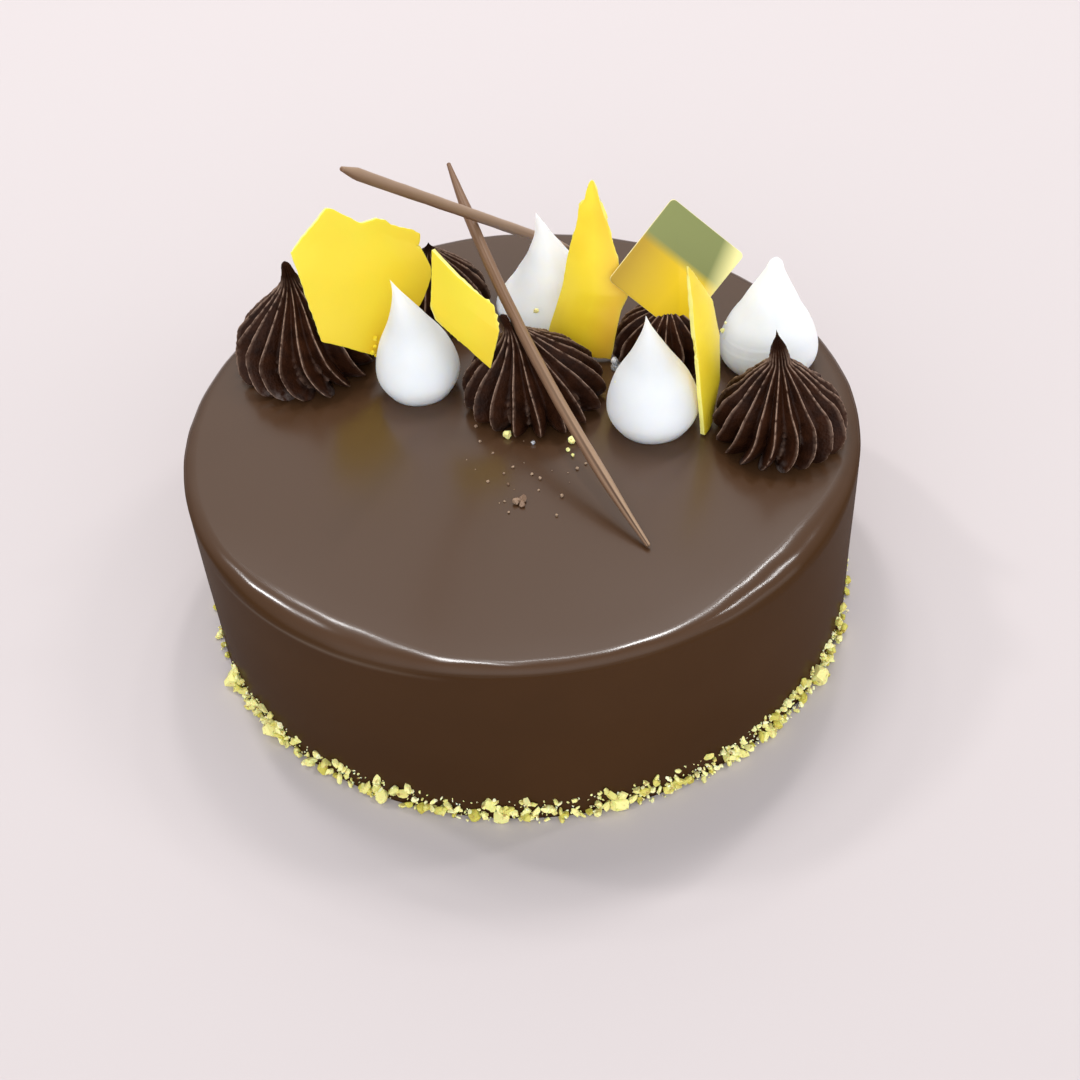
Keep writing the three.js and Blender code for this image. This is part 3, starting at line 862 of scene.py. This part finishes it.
SHARD_THICKNESS = 1.4 * MM
SHARD_STEPS = 64
SHARD_EDGE_ROUND = 0.22 * MM
CHIP_DEPTH = 0.26 * MM
CHIP_LENGTH = 1.7 * MM
CHIP_INWARD = 0.5
BITE_LENGTH = 6 * MM
BITE_SHARE = 0.6
UNEVEN = 0.4 * MM
UNEVEN_LENGTH = 13 * MM
CHIP_SHIFT, BITE_SHIFT, UNEVEN_SHIFT = 2.7, 8.1, 6.3
POINTED_SHARDS = ("shard_3", "shard_4")
TIP_FROM = 0.93
TIP_NARROWS = 0.9
THIN_FROM = 0.8
THINNEST = 0.3
SHARP_EDGE = math.radians(50)
SMOOTH_ANGLE = math.radians(40)
SHARDS = {
    "shard_1": {
        "place": (-51.6, 20.4, 15.2), "yaw": 24, "lean": 20, "bow": 0.8,
        "left": ((0, 0), (-1.5, 25.6)),
        "right": (
            (13.4, -8.9), (29.6, 0.9), (32.8, 4.8), (34.5, 7.4), (35, 10.1), (34, 14.2),
            (33.1, 16.4), (34.1, 18.1), (34.3, 19.7),
        ),
        "foot": ((4.7, -2.9),),
        "head": (
            (10.6, 34), (12.5, 33.4), (14.2, 31.7), (18.9, 27.7), (20.9, 27.5), (23.5, 27.5),
            (25.5, 26.4), (27.3, 24.5), (32.8, 21.2),
        ),
    },
    "shard_2": {
        "place": (-6.2, 3.8, 15.8), "yaw": -25, "lean": 18, "bow": 1,
        "left": ((-15.9, 9.7), (-17.5, 12.7), (-17.7, 28.1)),
        "right": ((0, -1), (2, 9.6), (-0.1, 16.2)),
        "foot": ((-6.2, 3.8),),
        "head": ((-8.2, 21.2),),
    },
    "shard_3": {
        "place": (26.5, 21.6, 0.7), "yaw": -24, "lean": 18, "bow": 2,
        "left": (
            (-18.5, 0), (-17.9, 5.9), (-16.4, 12.2), (-15, 18.5), (-14.3, 25.8), (-13.4, 31.2),
            (-12.5, 34.8), (-12.1, 37.8), (-12.1, 41.2), (-10.7, 43.1), (-10.3, 46), (-9.7, 48.6),
        ),
        "right": (
            (0, 0), (0.5, 3.1), (1, 8.1), (1.8, 14.8), (3.3, 18.7), (2.7, 21), (0.4, 26.5),
            (-2, 33.1), (-3.8, 37.9), (-5.9, 42.2), (-7.4, 45.9), (-8.4, 48.6),
        ),
        "foot": (),
        "head": (),
    },
    "shard_4": {
        "place": (47.4, -13.4, 0.5), "yaw": 60, "lean": 8, "bow": 1.2,
        "left": ((0, 0), (2.2, 24), (4.4, 48.6)),
        "right": ((4.6, 0), (12.6, 8.4), (16.2, 20.5), (14.2, 32), (5, 48.4)),
        "foot": (),
        "head": (),
    },
}
LEMON_SHARDS = ("shard_1", "shard_2")
# Painted shade: how dark a shard is coloured at its foot and at its right side, where across it
# that starts and ends, and how much of it is lost towards the head
SHARD_PAINTED_SHADE = {
    "shard_1": (0.3, 0.25, 0.65, 1, 0),
    "shard_2": (0.15, 0.2, 0.6, 1, 0),
    "shard_3": (0.2, 0.75, 0.55, 0.9, 0.6),
    "shard_4": (0, 0, 0, 1, 0),
}


def along_line(points, share):
    """The point a share of a broken line's length along it."""
    row = np.array(points, float)
    reach = np.concatenate([[0], np.cumsum(np.linalg.norm(np.diff(row, axis=0), axis=1))])
    return np.array([np.interp(share * reach[-1], reach, row[:, axis]) for axis in (0, 1)])


def plate_point(spec, s, t):
    """The place in a shard's plane, a share s across and a share t up between its four edges."""
    left, right = spec["left"], spec["right"]
    foot = (left[0], *spec["foot"], right[0])
    head = (left[-1], *spec["head"], right[-1])
    across = along_line(foot, s) * (1 - t) + along_line(head, s) * t
    upward = along_line(left, t) * (1 - s) + along_line(right, t) * s
    low = along_line((left[0], right[0]), s)
    high = along_line((left[-1], right[-1]), s)
    return across + upward - (low * (1 - t) + high * t)


def take_up(piece):
    """Makes a piece the one in hand."""
    bpy.ops.object.select_all(action="DESELECT")
    piece.select_set(True)
    bpy.context.view_layer.objects.active = piece


def finish_plate(piece, edge_round):
    """Rounds a plate that faces Y, applies its modifiers, and notes which faces are its edge."""
    rounded = piece.modifiers.new("rounded_edge", "BEVEL")
    rounded.width = edge_round
    rounded.segments = 2
    rounded.limit_method = "ANGLE"
    rounded.angle_limit = SHARP_EDGE
    take_up(piece)
    for modifier in list(piece.modifiers):
        bpy.ops.object.modifier_apply(modifier=modifier.name)
    note(piece, "edge", [1 - abs(face.normal.y) ** 2 for face in piece.data.polygons], "FACE")


def stand_plate(piece, place, lean, roll, yaw):
    """Turns a finished plate and sets it in its place, in millimetres from the cake's top."""
    piece.rotation_mode = "YXZ"
    piece.rotation_euler = (math.radians(-lean), math.radians(-roll), math.radians(yaw))
    piece.location = Vector(place) * MM + CAKE_TOP
    bpy.ops.object.transform_apply(location=True, rotation=True, scale=True)
    bpy.ops.object.shade_smooth_by_angle(angle=SMOOTH_ANGLE)


shards = []
for order, (name, spec) in enumerate(SHARDS.items()):
    bpy.ops.object.select_all(action="DESELECT")
    bpy.ops.mesh.primitive_grid_add(x_subdivisions=SHARD_STEPS, y_subdivisions=SHARD_STEPS, size=1)
    piece = bpy.context.object
    piece.name = piece.data.name = name + "_plate"
    grid = places_of(piece.data) + 0.5
    s, t = grid[:, 0], grid[:, 1]
    across = s
    if name in POINTED_SHARDS:
        tip = held((t - TIP_FROM) / (1 - TIP_FROM))
        across = 0.5 + (s - 0.5) * np.sqrt(1 - TIP_NARROWS * tip**2)
    flat = np.array([plate_point(spec, a, b) for a, b in zip(across, t)]) * MM
    still = np.column_stack([flat, np.zeros(len(flat))])

    # The broken edge is chipped in small chips and longer bites
    broken = (np.minimum(s, 1 - s) < 1e-4) | (np.minimum(t, 1 - t) < 1e-4)
    outward = flat - flat.mean(0)
    outward /= np.maximum(np.linalg.norm(outward, axis=1), 1e-9)[:, None]
    chips = drift(still, CHIP_LENGTH, CHIP_SHIFT * order)
    chips += BITE_SHARE * drift(still, BITE_LENGTH, BITE_SHIFT * order)
    flat += outward * (CHIP_DEPTH * (chips - CHIP_INWARD) * broken)[:, None]

    # The plate bows forward in the middle, most where it is widest
    wide = np.linalg.norm(
        [plate_point(spec, 1, up) - plate_point(spec, 0, up) for up in t], axis=1
    )
    bulge = spec["bow"] * MM * (1 - (2 * s - 1) ** 2) * (wide / wide.max()) ** 2
    bulge += UNEVEN * drift(still, UNEVEN_LENGTH, UNEVEN_SHIFT * order)
    put_places(piece.data, np.column_stack([flat[:, 0], -bulge, flat[:, 1]]))

    foot, side, start, end, lost = SHARD_PAINTED_SHADE[name]
    # Painted shade, darker towards the foot and towards the right side
    note(piece, "painted_shade", foot * (1 - t) + side * held((s - start) / (end - start)) * (1 - lost * t))
    note(piece, "lemon", np.full(len(t), float(name in LEMON_SHARDS)))
    thick = piece.modifiers.new("thickness", "SOLIDIFY")
    thick.thickness = SHARD_THICKNESS
    thick.offset = 0
    if name in POINTED_SHARDS:
        full = piece.vertex_groups.new(name="full_thickness")
        for vertex, up in enumerate(t):
            full.add([vertex], float(held((1 - up) / (1 - THIN_FROM))), "REPLACE")
        thick.vertex_group = full.name
        thick.thickness_vertex_group = THINNEST
    finish_plate(piece, SHARD_EDGE_ROUND)
    stand_plate(piece, spec["place"], spec["lean"], 0, spec["yaw"])
    shards.append(piece)

YELLOW_FACE = (0.95, 0.715, 0.034, 1)
YELLOW_DULL = (0.88, 0.63, 0.023, 1)
YELLOW_LEMON = (0.81, 0.66, 0.034, 1)
YELLOW_PAINTED_SHADE = (0.8, 0.42, 0.006, 1)
YELLOW_EDGE = (0.98, 0.88, 0.25, 1)

yellow, tree, shader = new_finish(
    "yellow_chocolate",
    {
        "Roughness": 0.36,
        "Specular IOR Level": 0.3,
        "Subsurface Weight": 0.3,
        "Subsurface Scale": 2 * MM,
        "Subsurface Radius": (1.0, 1.0, 0.3),
    },
)
face = use_mottle(tree, YELLOW_FACE, YELLOW_DULL, scale=70.0, start=0.42, end=0.68)["Color"]
lemon = use_mottle(tree, YELLOW_LEMON, YELLOW_DULL, scale=70.0, start=0.45, end=0.9)["Color"]
face = mixed(tree, attribute(tree, "lemon"), face, lemon)
# Painted shade on the shards' feet and right sides.
face = mixed(tree, attribute(tree, "painted_shade"), face, YELLOW_PAINTED_SHADE)
face = mixed(tree, attribute(tree, "edge"), face, YELLOW_EDGE)
cover(tree, shader, face, scale=900.0, pits=0.1, strength=0.12, depth=0.1 * MM)
for piece in shards:
    piece.data.materials.append(yellow)
    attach(piece, "root")
    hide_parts(piece.name.removesuffix("_plate"))


# Rolled sticks
# Thin milk chocolate curled off a slab into tight rolls that taper at both ends, with a lengthwise
# seam where the roll closes. One leans across the middle rosette, the other over it from the back.

STICK_SIDES = 36
STICK_RINGS = 120
STICK_TIP_RADIUS = 0.62 * MM
STICK_SWELL = {"stick_1": (2, 2.6), "stick_2": (3.5, 6.5)}
STICK_WAVE = 0.05
STICK_WAVE_LENGTH = 0.5
STICK_WAVE_SHAPE = (0.5, 0.5, 9)
STICK_SHIFT = 7.7
SEAM_STEP = 0.12
SEAM_TURN = {"stick_1": 85, "stick_2": -70}
GROOVE_FROM = 0.9
GROOVE_RUN = 0.05
PALE_TURN = {"stick_1": 135, "stick_2": 75}
PALE_MIDDLE = 0.45
PALE_SWING = 0.55
PALE_FAR_END = 0.25

stick_flank = [(1, i / STICK_RINGS) for i in range(STICK_RINGS + 1)] + [(0, 1)]
stick_form = turned("stick_form", stick_flank, STICK_SIDES)
sticks = []
for order, (name, spec) in enumerate(STICKS.items()):
    piece = copy_of(stick_form, name + "_roll")
    unit = places_of(piece.data)
    share = held(unit[:, 2])
    swell = np.where(share < 0.5, *STICK_SWELL[name])
    full = np.minimum(1, swell * np.sin(np.pi * share))
    width = between((STICK_TIP_RADIUS, STICK_RADIUS), full)
    round_share = np.arctan2(unit[:, 1], unit[:, 0]) / (2 * np.pi) % 1
    width *= np.hypot(unit[:, 0], unit[:, 1]) * (1 - SEAM_STEP * round_share)
    width *= 1 + STICK_WAVE * drift(unit * STICK_WAVE_SHAPE, STICK_WAVE_LENGTH, STICK_SHIFT * order)
    angle = round_share * 2 * np.pi + math.radians(SEAM_TURN[name])
    tangent = stick_line(spec, share + 0.001) - stick_line(spec, share - 0.001)
    tangent /= np.linalg.norm(tangent, axis=1)[:, None]
    aside = np.cross((0, 0, 1), tangent)
    aside /= np.linalg.norm(aside, axis=1)[:, None]
    over = np.cross(tangent, aside)
    places = stick_line(spec, share) + aside * (width * np.cos(angle))[:, None]
    put_places(piece.data, places + over * (width * np.sin(angle))[:, None])

    # One side is paler: partly the roll's paler lip, partly a painted highlight on the upper side.
    pale = held(PALE_MIDDLE + PALE_SWING * np.cos(angle - math.radians(PALE_TURN[name])))
    groove = held((round_share - GROOVE_FROM) / GROOVE_RUN)
    if name == FRONT_STICK:
        near_foot = held(1.2 - 2 * share)
        pale *= between((PALE_FAR_END, 1), near_foot)
        groove *= near_foot
    note(piece, "seam", round_share)
    note(piece, "along", share)
    note(piece, "pale", pale)
    note(piece, "groove", groove)
    take_up(piece)
    turn_faces_outward()
    bpy.ops.object.shade_smooth_by_angle(angle=SMOOTH_ANGLE)
    sticks.append(piece)
bpy.data.objects.remove(stick_form)

STICK_BROWN = (0.178, 0.092, 0.05, 1)
STICK_DARK = (0.125, 0.06, 0.031, 1)
STICK_LIP_AND_HIGHLIGHT = (0.34, 0.225, 0.145, 1)
STICK_GROOVE = (0.05, 0.022, 0.011, 1)
STREAKS = (14.0, 5.0, 1.0)

milk, tree, shader = new_finish("rolled_chocolate", {"Roughness": 0.42, "Specular IOR Level": 0.25})
rolled_out = add_node(
    tree, "ShaderNodeCombineXYZ", {"X": attribute(tree, "seam"), "Y": attribute(tree, "along")}
).outputs["Vector"]
streaks = add_node(
    tree, "ShaderNodeVectorMath", {0: rolled_out, 1: STREAKS}, operation="MULTIPLY"
).outputs["Vector"]
grain = add_node(
    tree, "ShaderNodeTexNoise", {"Vector": streaks, "Scale": 1.0, "Detail": 3.0}
).outputs["Fac"]
rolled = mixed(tree, ramped(tree, grain, 0.35, 0.7), STICK_DARK, STICK_BROWN)
# The pale side: the roll's lip and a painted highlight.
rolled = mixed(tree, attribute(tree, "pale"), rolled, STICK_LIP_AND_HIGHLIGHT)
rolled = mixed(tree, attribute(tree, "groove"), rolled, STICK_GROOVE)
cover(tree, shader, rolled, scale=1400.0, pits=0.2, strength=0.2, depth=0.1 * MM)
for piece in sticks:
    piece.data.materials.append(milk)
    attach(piece, "root")
    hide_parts(piece.name.removesuffix("_roll"))


# Plaque
# A small thin plaque with rounded corners, coated in two fields of colour. It stands on one corner,
# with its foot pushed into the cream behind the drops.

PLAQUE_WIDTH = 27.4 * MM
PLAQUE_HEIGHT = 24.8 * MM
PLAQUE_THICKNESS = 1 * MM
PLAQUE_CORNER = 1.3 * MM
PLAQUE_CORNER_STEPS = 6
PLAQUE_EDGE_ROUND = 0.16 * MM
PLAQUE_PLACE = (45.1, 25.9, 26.2)
PLAQUE_LEAN = 25
PLAQUE_TURN = 48

bpy.ops.object.select_all(action="DESELECT")
bpy.ops.mesh.primitive_cube_add(size=1)
plaque = bpy.context.object
plaque.name = plaque.data.name = "plaque_card"
plaque.scale = (PLAQUE_WIDTH, PLAQUE_THICKNESS, PLAQUE_HEIGHT)
bpy.ops.object.transform_apply(location=False, rotation=False, scale=True)
bpy.ops.object.mode_set(mode="EDIT")
pick(plaque, "EDGE", lambda places: abs(places[0].y - places[1].y) > PLAQUE_THICKNESS / 2)
bpy.ops.mesh.bevel(
    offset=PLAQUE_CORNER, segments=PLAQUE_CORNER_STEPS, profile=0.5, affect="EDGES"
)
bpy.ops.object.mode_set(mode="OBJECT")
finish_plate(plaque, PLAQUE_EDGE_ROUND)
field = plaque.data.attributes.new("field", "FLOAT_VECTOR", "POINT")
local = places_of(plaque.data) / (PLAQUE_WIDTH, 1, PLAQUE_HEIGHT)
field.data.foreach_set("vector", local.astype(np.float32).ravel())
stand_plate(plaque, PLAQUE_PLACE, PLAQUE_LEAN, PLAQUE_TURN, 0)

PLAQUE_GREEN = (0.202, 0.22, 0.066, 1)
PLAQUE_GOLD = (0.43, 0.26, 0.008, 1)
PLAQUE_BRIGHT = (0.83, 0.55, 0.009, 1)
PLAQUE_PAINTED_SHEEN = (0.98, 0.88, 0.37, 1)
PLAQUE_EDGE = (0.9, 0.8, 0.4, 1)

card, tree, shader = new_finish("coloured_plaque", {"Roughness": 0.38, "Specular IOR Level": 0.3})
spot = add_node(tree, "ShaderNodeAttribute", attribute_name="field").outputs["Vector"]
spot = add_node(tree, "ShaderNodeSeparateXYZ", {0: spot}).outputs
gold = mixed(tree, ramped(tree, spot["Z"], 0.45, -0.1), PLAQUE_GOLD, PLAQUE_BRIGHT)
fields = mixed(tree, ramped(tree, spot["X"], 0.02, 0.12), gold, PLAQUE_GREEN)
# Painted reflection: a pale sheen over the right corner and down the right edge.
low_corner = maths(tree, "MULTIPLY_ADD", spot["X"], -0.3, spot["Z"])
fields = mixed(tree, ramped(tree, low_corner, -0.36, -0.62), fields, PLAQUE_PAINTED_SHEEN)
fields = mixed(tree, attribute(tree, "edge"), fields, PLAQUE_EDGE)
cover(tree, shader, fields, scale=1200.0, pits=0.0, strength=0.06, depth=0.05 * MM)
plaque.data.materials.append(card)
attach(plaque, "root")
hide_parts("plaque")


# Loose crumbs
# Bits that fell while the cake was dressed: pistachio, meringue and yellow chocolate on the
# toppings and in front of the middle rosette, a crumb of milk chocolate, and dust around that.

CRUMB_SEED = 915
CRUMB_SINK = 0.1
TOP = CAKE_HEIGHT / MM
PISTACHIO_CRUMBS = (
    (-3.3, -7.6, TOP, 2.4), (13.3, -11.6, TOP, 1.9), (12.0, -14.9, TOP, 1.0),
    (13.1, -17.3, TOP, 0.9), (7.1, 36.5, 62.8, 1.5), (25.6, -6.6, 70.2, 0.6),
    (43.6, -13.8, 62.7, 0.6), (56.6, 16.2, 66.2, 1.3), (57.2, 15.6, 64.2, 1.0),
    (57.6, 17.6, 68.0, 0.8),
)
SHARD_CRUMBS = (
    (-37.4, 23.9, 67.2, 1.4), (-37.6, 22.9, 65.2, 1.1), (-38.5, 21.9, 64.0, 1.2),
    (-37.8, 22.0, 63.0, 0.9),
)
MERINGUE_CRUMBS = (
    (3.1, -11.2, TOP, 1.2), (27.6, 17.2, TOP, 2.6), (27.5, 17.6, TOP + 1.7, 2.2),
)
CHOCOLATE_CRUMBS = (
    (-2.6, -33.7, TOP, 1.7), (-0.9, -32.8, TOP, 2.0), (-1.1, -34.5, TOP, 1.6),
    (-1.8, -33.2, TOP, 1.5), (-11.7, -2.4, TOP, 0.9), (-9.3, -24.6, TOP, 0.7),
    (-2.6, -19.9, TOP, 0.8), (-5.1, -22.0, TOP, 0.6), (-4.2, -26.3, TOP, 0.7),
    (4.1, -25.0, TOP, 0.8), (9.2, -32.4, TOP, 0.9), (13.8, -22.3, TOP, 0.8),
    (16.2, -20.7, TOP, 0.7), (-10.8, -8.6, TOP, 0.8), (-5.3, -32.6, TOP, 0.6),
    (-4.5, -36.8, TOP, 0.6), (7.4, -39.3, TOP, 0.7), (2.1, -23.2, TOP, 0.7),
)
DUST_COUNT = 12
DUST_SIZE = (0.25, 0.55)
DUST_MIDDLE = (0.0, -24.0)
DUST_SPREAD = (19.0, 15.0)
PISTACHIO_TINTS = (0.6, 1.2)
ALL_TINTS = (0, 1)


def crumbs_at(name, crumbs, draws, tints):
    """Crumbs from rows of x, y, the height they lie at, and size, in millimetres."""
    bits = []
    for i, (x, y, z, size) in enumerate(crumbs):
        shape = nut_shapes[i % NUT_SHAPES]
        places = tumbled(shape[0] * size * MM, draws)
        places += (x * MM, y * MM, (z - CRUMB_SINK * size) * MM - places[:, 2].min())
        bits.append((places, shape[1], between(tints, next(draws))))
    return joined_bits(name, bits)


draws = draws_from(CRUMB_SEED)
dust = []
for _ in range(DUST_COUNT):
    turn = 2 * math.pi * next(draws)
    far = math.sqrt(next(draws))
    x = DUST_MIDDLE[0] + DUST_SPREAD[0] * far * math.cos(turn)
    y = DUST_MIDDLE[1] + DUST_SPREAD[1] * far * math.sin(turn)
    dust.append((x, y, TOP, between(DUST_SIZE, next(draws) ** 2)))
pale_crumbs = crumbs_at("pistachio_crumbs", PISTACHIO_CRUMBS, draws, PISTACHIO_TINTS)
white_crumbs = crumbs_at("meringue_crumbs", MERINGUE_CRUMBS, draws, ALL_TINTS)
# Painted light: the meringue crumbs lie in shade and are coloured as light as the drops' feet.
note(white_crumbs, "painted_light", np.ones(len(white_crumbs.data.vertices)))
brown_crumbs = crumbs_at("chocolate_crumbs", (*CHOCOLATE_CRUMBS, *dust), draws, ALL_TINTS)
yellow_crumbs = crumbs_at("shard_crumbs", SHARD_CRUMBS, draws, ALL_TINTS)

CRUMB_DARK = (0.2, 0.115, 0.07, 1)
CRUMB_PALE = (0.42, 0.29, 0.19, 1)

crumb, tree, shader = new_finish("chocolate_crumb", {"Roughness": 0.6})
crumb_colour = mixed(tree, attribute(tree, "tint"), CRUMB_DARK, CRUMB_PALE)
cover(tree, shader, crumb_colour, scale=2400.0, pits=0.4, strength=0.5, depth=0.2 * MM)
for piece, finish, slot in (
    (pale_crumbs, nut_finish, "nut"),
    (white_crumbs, meringue, "meringue"),
    (brown_crumbs, crumb, "milk_chocolate"),
    (yellow_crumbs, yellow, "yellow_chocolate"),
):
    piece.data.materials.append(finish)
    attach(piece, "root")


# Floor, light and camera
# A wide pale floor, a soft sky that is brighter in front and behind, and small soft boxes that draw
# the lines of light on the rounded edge. The camera looks down at the front from close by.

FLOOR_SIZE = 8
FLOOR_DROP = 0.02 * MM
FLOOR_COLOUR = (0.55, 0.494, 0.494, 1)
SKY_STEPS = ((0.0, 0.32), (0.5, 0.37), (1.0, 0.24))
SKY_BLUE = 1.02
FRONT = Vector((0, -0.99, 0.15)).normalized()
FRONT_GLOW = (2.0, 2.09, 2.17)
FRONT_SHARPNESS = 1.3
BACK = Vector((0, 0.75, 0.66)).normalized()
BACK_GLOW = (0.86, 0.83, 0.79)
BACK_SHARPNESS = 8.0

bpy.ops.object.select_all(action="DESELECT")
bpy.ops.mesh.primitive_plane_add(size=FLOOR_SIZE, location=(0, 0, -FLOOR_DROP))
floor = bpy.context.object
floor.name = "floor"
floor_finish = new_finish("pale_floor", {"Roughness": 0.9, "Base Color": FLOOR_COLOUR})[0]
floor.data.materials.append(floor_finish)

world = bpy.data.worlds.new("soft_sky")
world.use_nodes = True
bpy.context.scene.world = world
tree = world.node_tree
look = add_node(tree, "ShaderNodeTexCoord").outputs["Generated"]
level = add_node(tree, "ShaderNodeSeparateXYZ", {0: look}).outputs["Z"]
sky = add_node(tree, "ShaderNodeValToRGB", {0: level})
steps = sky.color_ramp.elements
for place, value in SKY_STEPS[1:-1]:
    steps.new(place)
for step, (place, value) in zip(steps, SKY_STEPS):
    step.position = place
    step.color = (value, value, SKY_BLUE * value, 1)
light = sky.outputs["Color"]
for aim, colour, sharpness in (
    (FRONT, FRONT_GLOW, FRONT_SHARPNESS),
    (BACK, BACK_GLOW, BACK_SHARPNESS),
):
    near = add_node(
        tree, "ShaderNodeVectorMath", {0: look, 1: aim}, operation="DOT_PRODUCT"
    ).outputs["Value"]
    glow = maths(tree, "POWER", maths(tree, "MAXIMUM", near, 0.0), sharpness)
    light = add_node(
        tree, "ShaderNodeVectorMath", {0: glow, 1: colour, 2: light}, operation="MULTIPLY_ADD"
    ).outputs["Vector"]
tree.links.new(light, tree.nodes["Background"].inputs["Color"])

# Each soft box has an azimuth, 0 in front and 90 on the right, an elevation, a width, a height and
# a brightness, and is aimed at the cake's top
BOX_DISTANCE = 2.0
SOFT_BOXES = {
    "left_box": (-121, 52, 0.12, 0.22, 78),
    "left_strip": (-156, 69, 0.11, 0.48, 52),
    "right_strip": (162, 61.5, 0.13, 0.3, 62),
    "left_spot": (-155, 55, 0.1, 0.12, 55),
    "right_spot": (153, 53, 0.1, 0.12, 50),
    "right_box": (104, 51, 0.08, 0.44, 40),
    "right_fill": (70, 20, 0.8, 0.8, 1.5),
    "front_line": (180, 64, 0.2, 0.1, 18),
}
for name, (azimuth, elevation, width, height, brightness) in SOFT_BOXES.items():
    lamp = bpy.data.lights.new(name, "AREA")
    lamp.shape = "RECTANGLE"
    lamp.size, lamp.size_y = width, height
    lamp.energy = brightness * math.pi * width * height
    box = bpy.data.objects.new(name, lamp)
    a, e = math.radians(azimuth), math.radians(elevation)
    away = Vector((math.sin(a) * math.cos(e), -math.cos(a) * math.cos(e), math.sin(e)))
    box.location = CAKE_TOP + away * BOX_DISTANCE
    box.rotation_euler = away.to_track_quat("Z", "Y").to_euler()
    bpy.context.scene.collection.objects.link(box)

CAMERA_PLACE = Vector((0, -0.3297, 0.32998))
CAMERA_AIM = Vector((0.003147, 0, 0.00959))
CAMERA_ROLL = math.radians(-4.21)
CAMERA_LENS = 53.333
CAMERA_SENSOR = 36

lens = bpy.data.cameras.new("camera")
lens.lens = CAMERA_LENS
lens.sensor_width = CAMERA_SENSOR
camera = bpy.data.objects.new("camera", lens)
back = (CAMERA_PLACE - CAMERA_AIM).normalized()
level = Vector((0, 0, 1)).cross(back).normalized()
upright = back.cross(level)
right = level * math.cos(CAMERA_ROLL) + upright * math.sin(CAMERA_ROLL)
up = upright * math.cos(CAMERA_ROLL) - level * math.sin(CAMERA_ROLL)
stand = Matrix((right, up, back)).transposed().to_4x4()
stand.translation = CAMERA_PLACE
camera.matrix_world = stand
bpy.context.scene.collection.objects.link(camera)
bpy.context.scene.camera = camera
bpy.context.scene.view_settings.view_transform = "Standard"
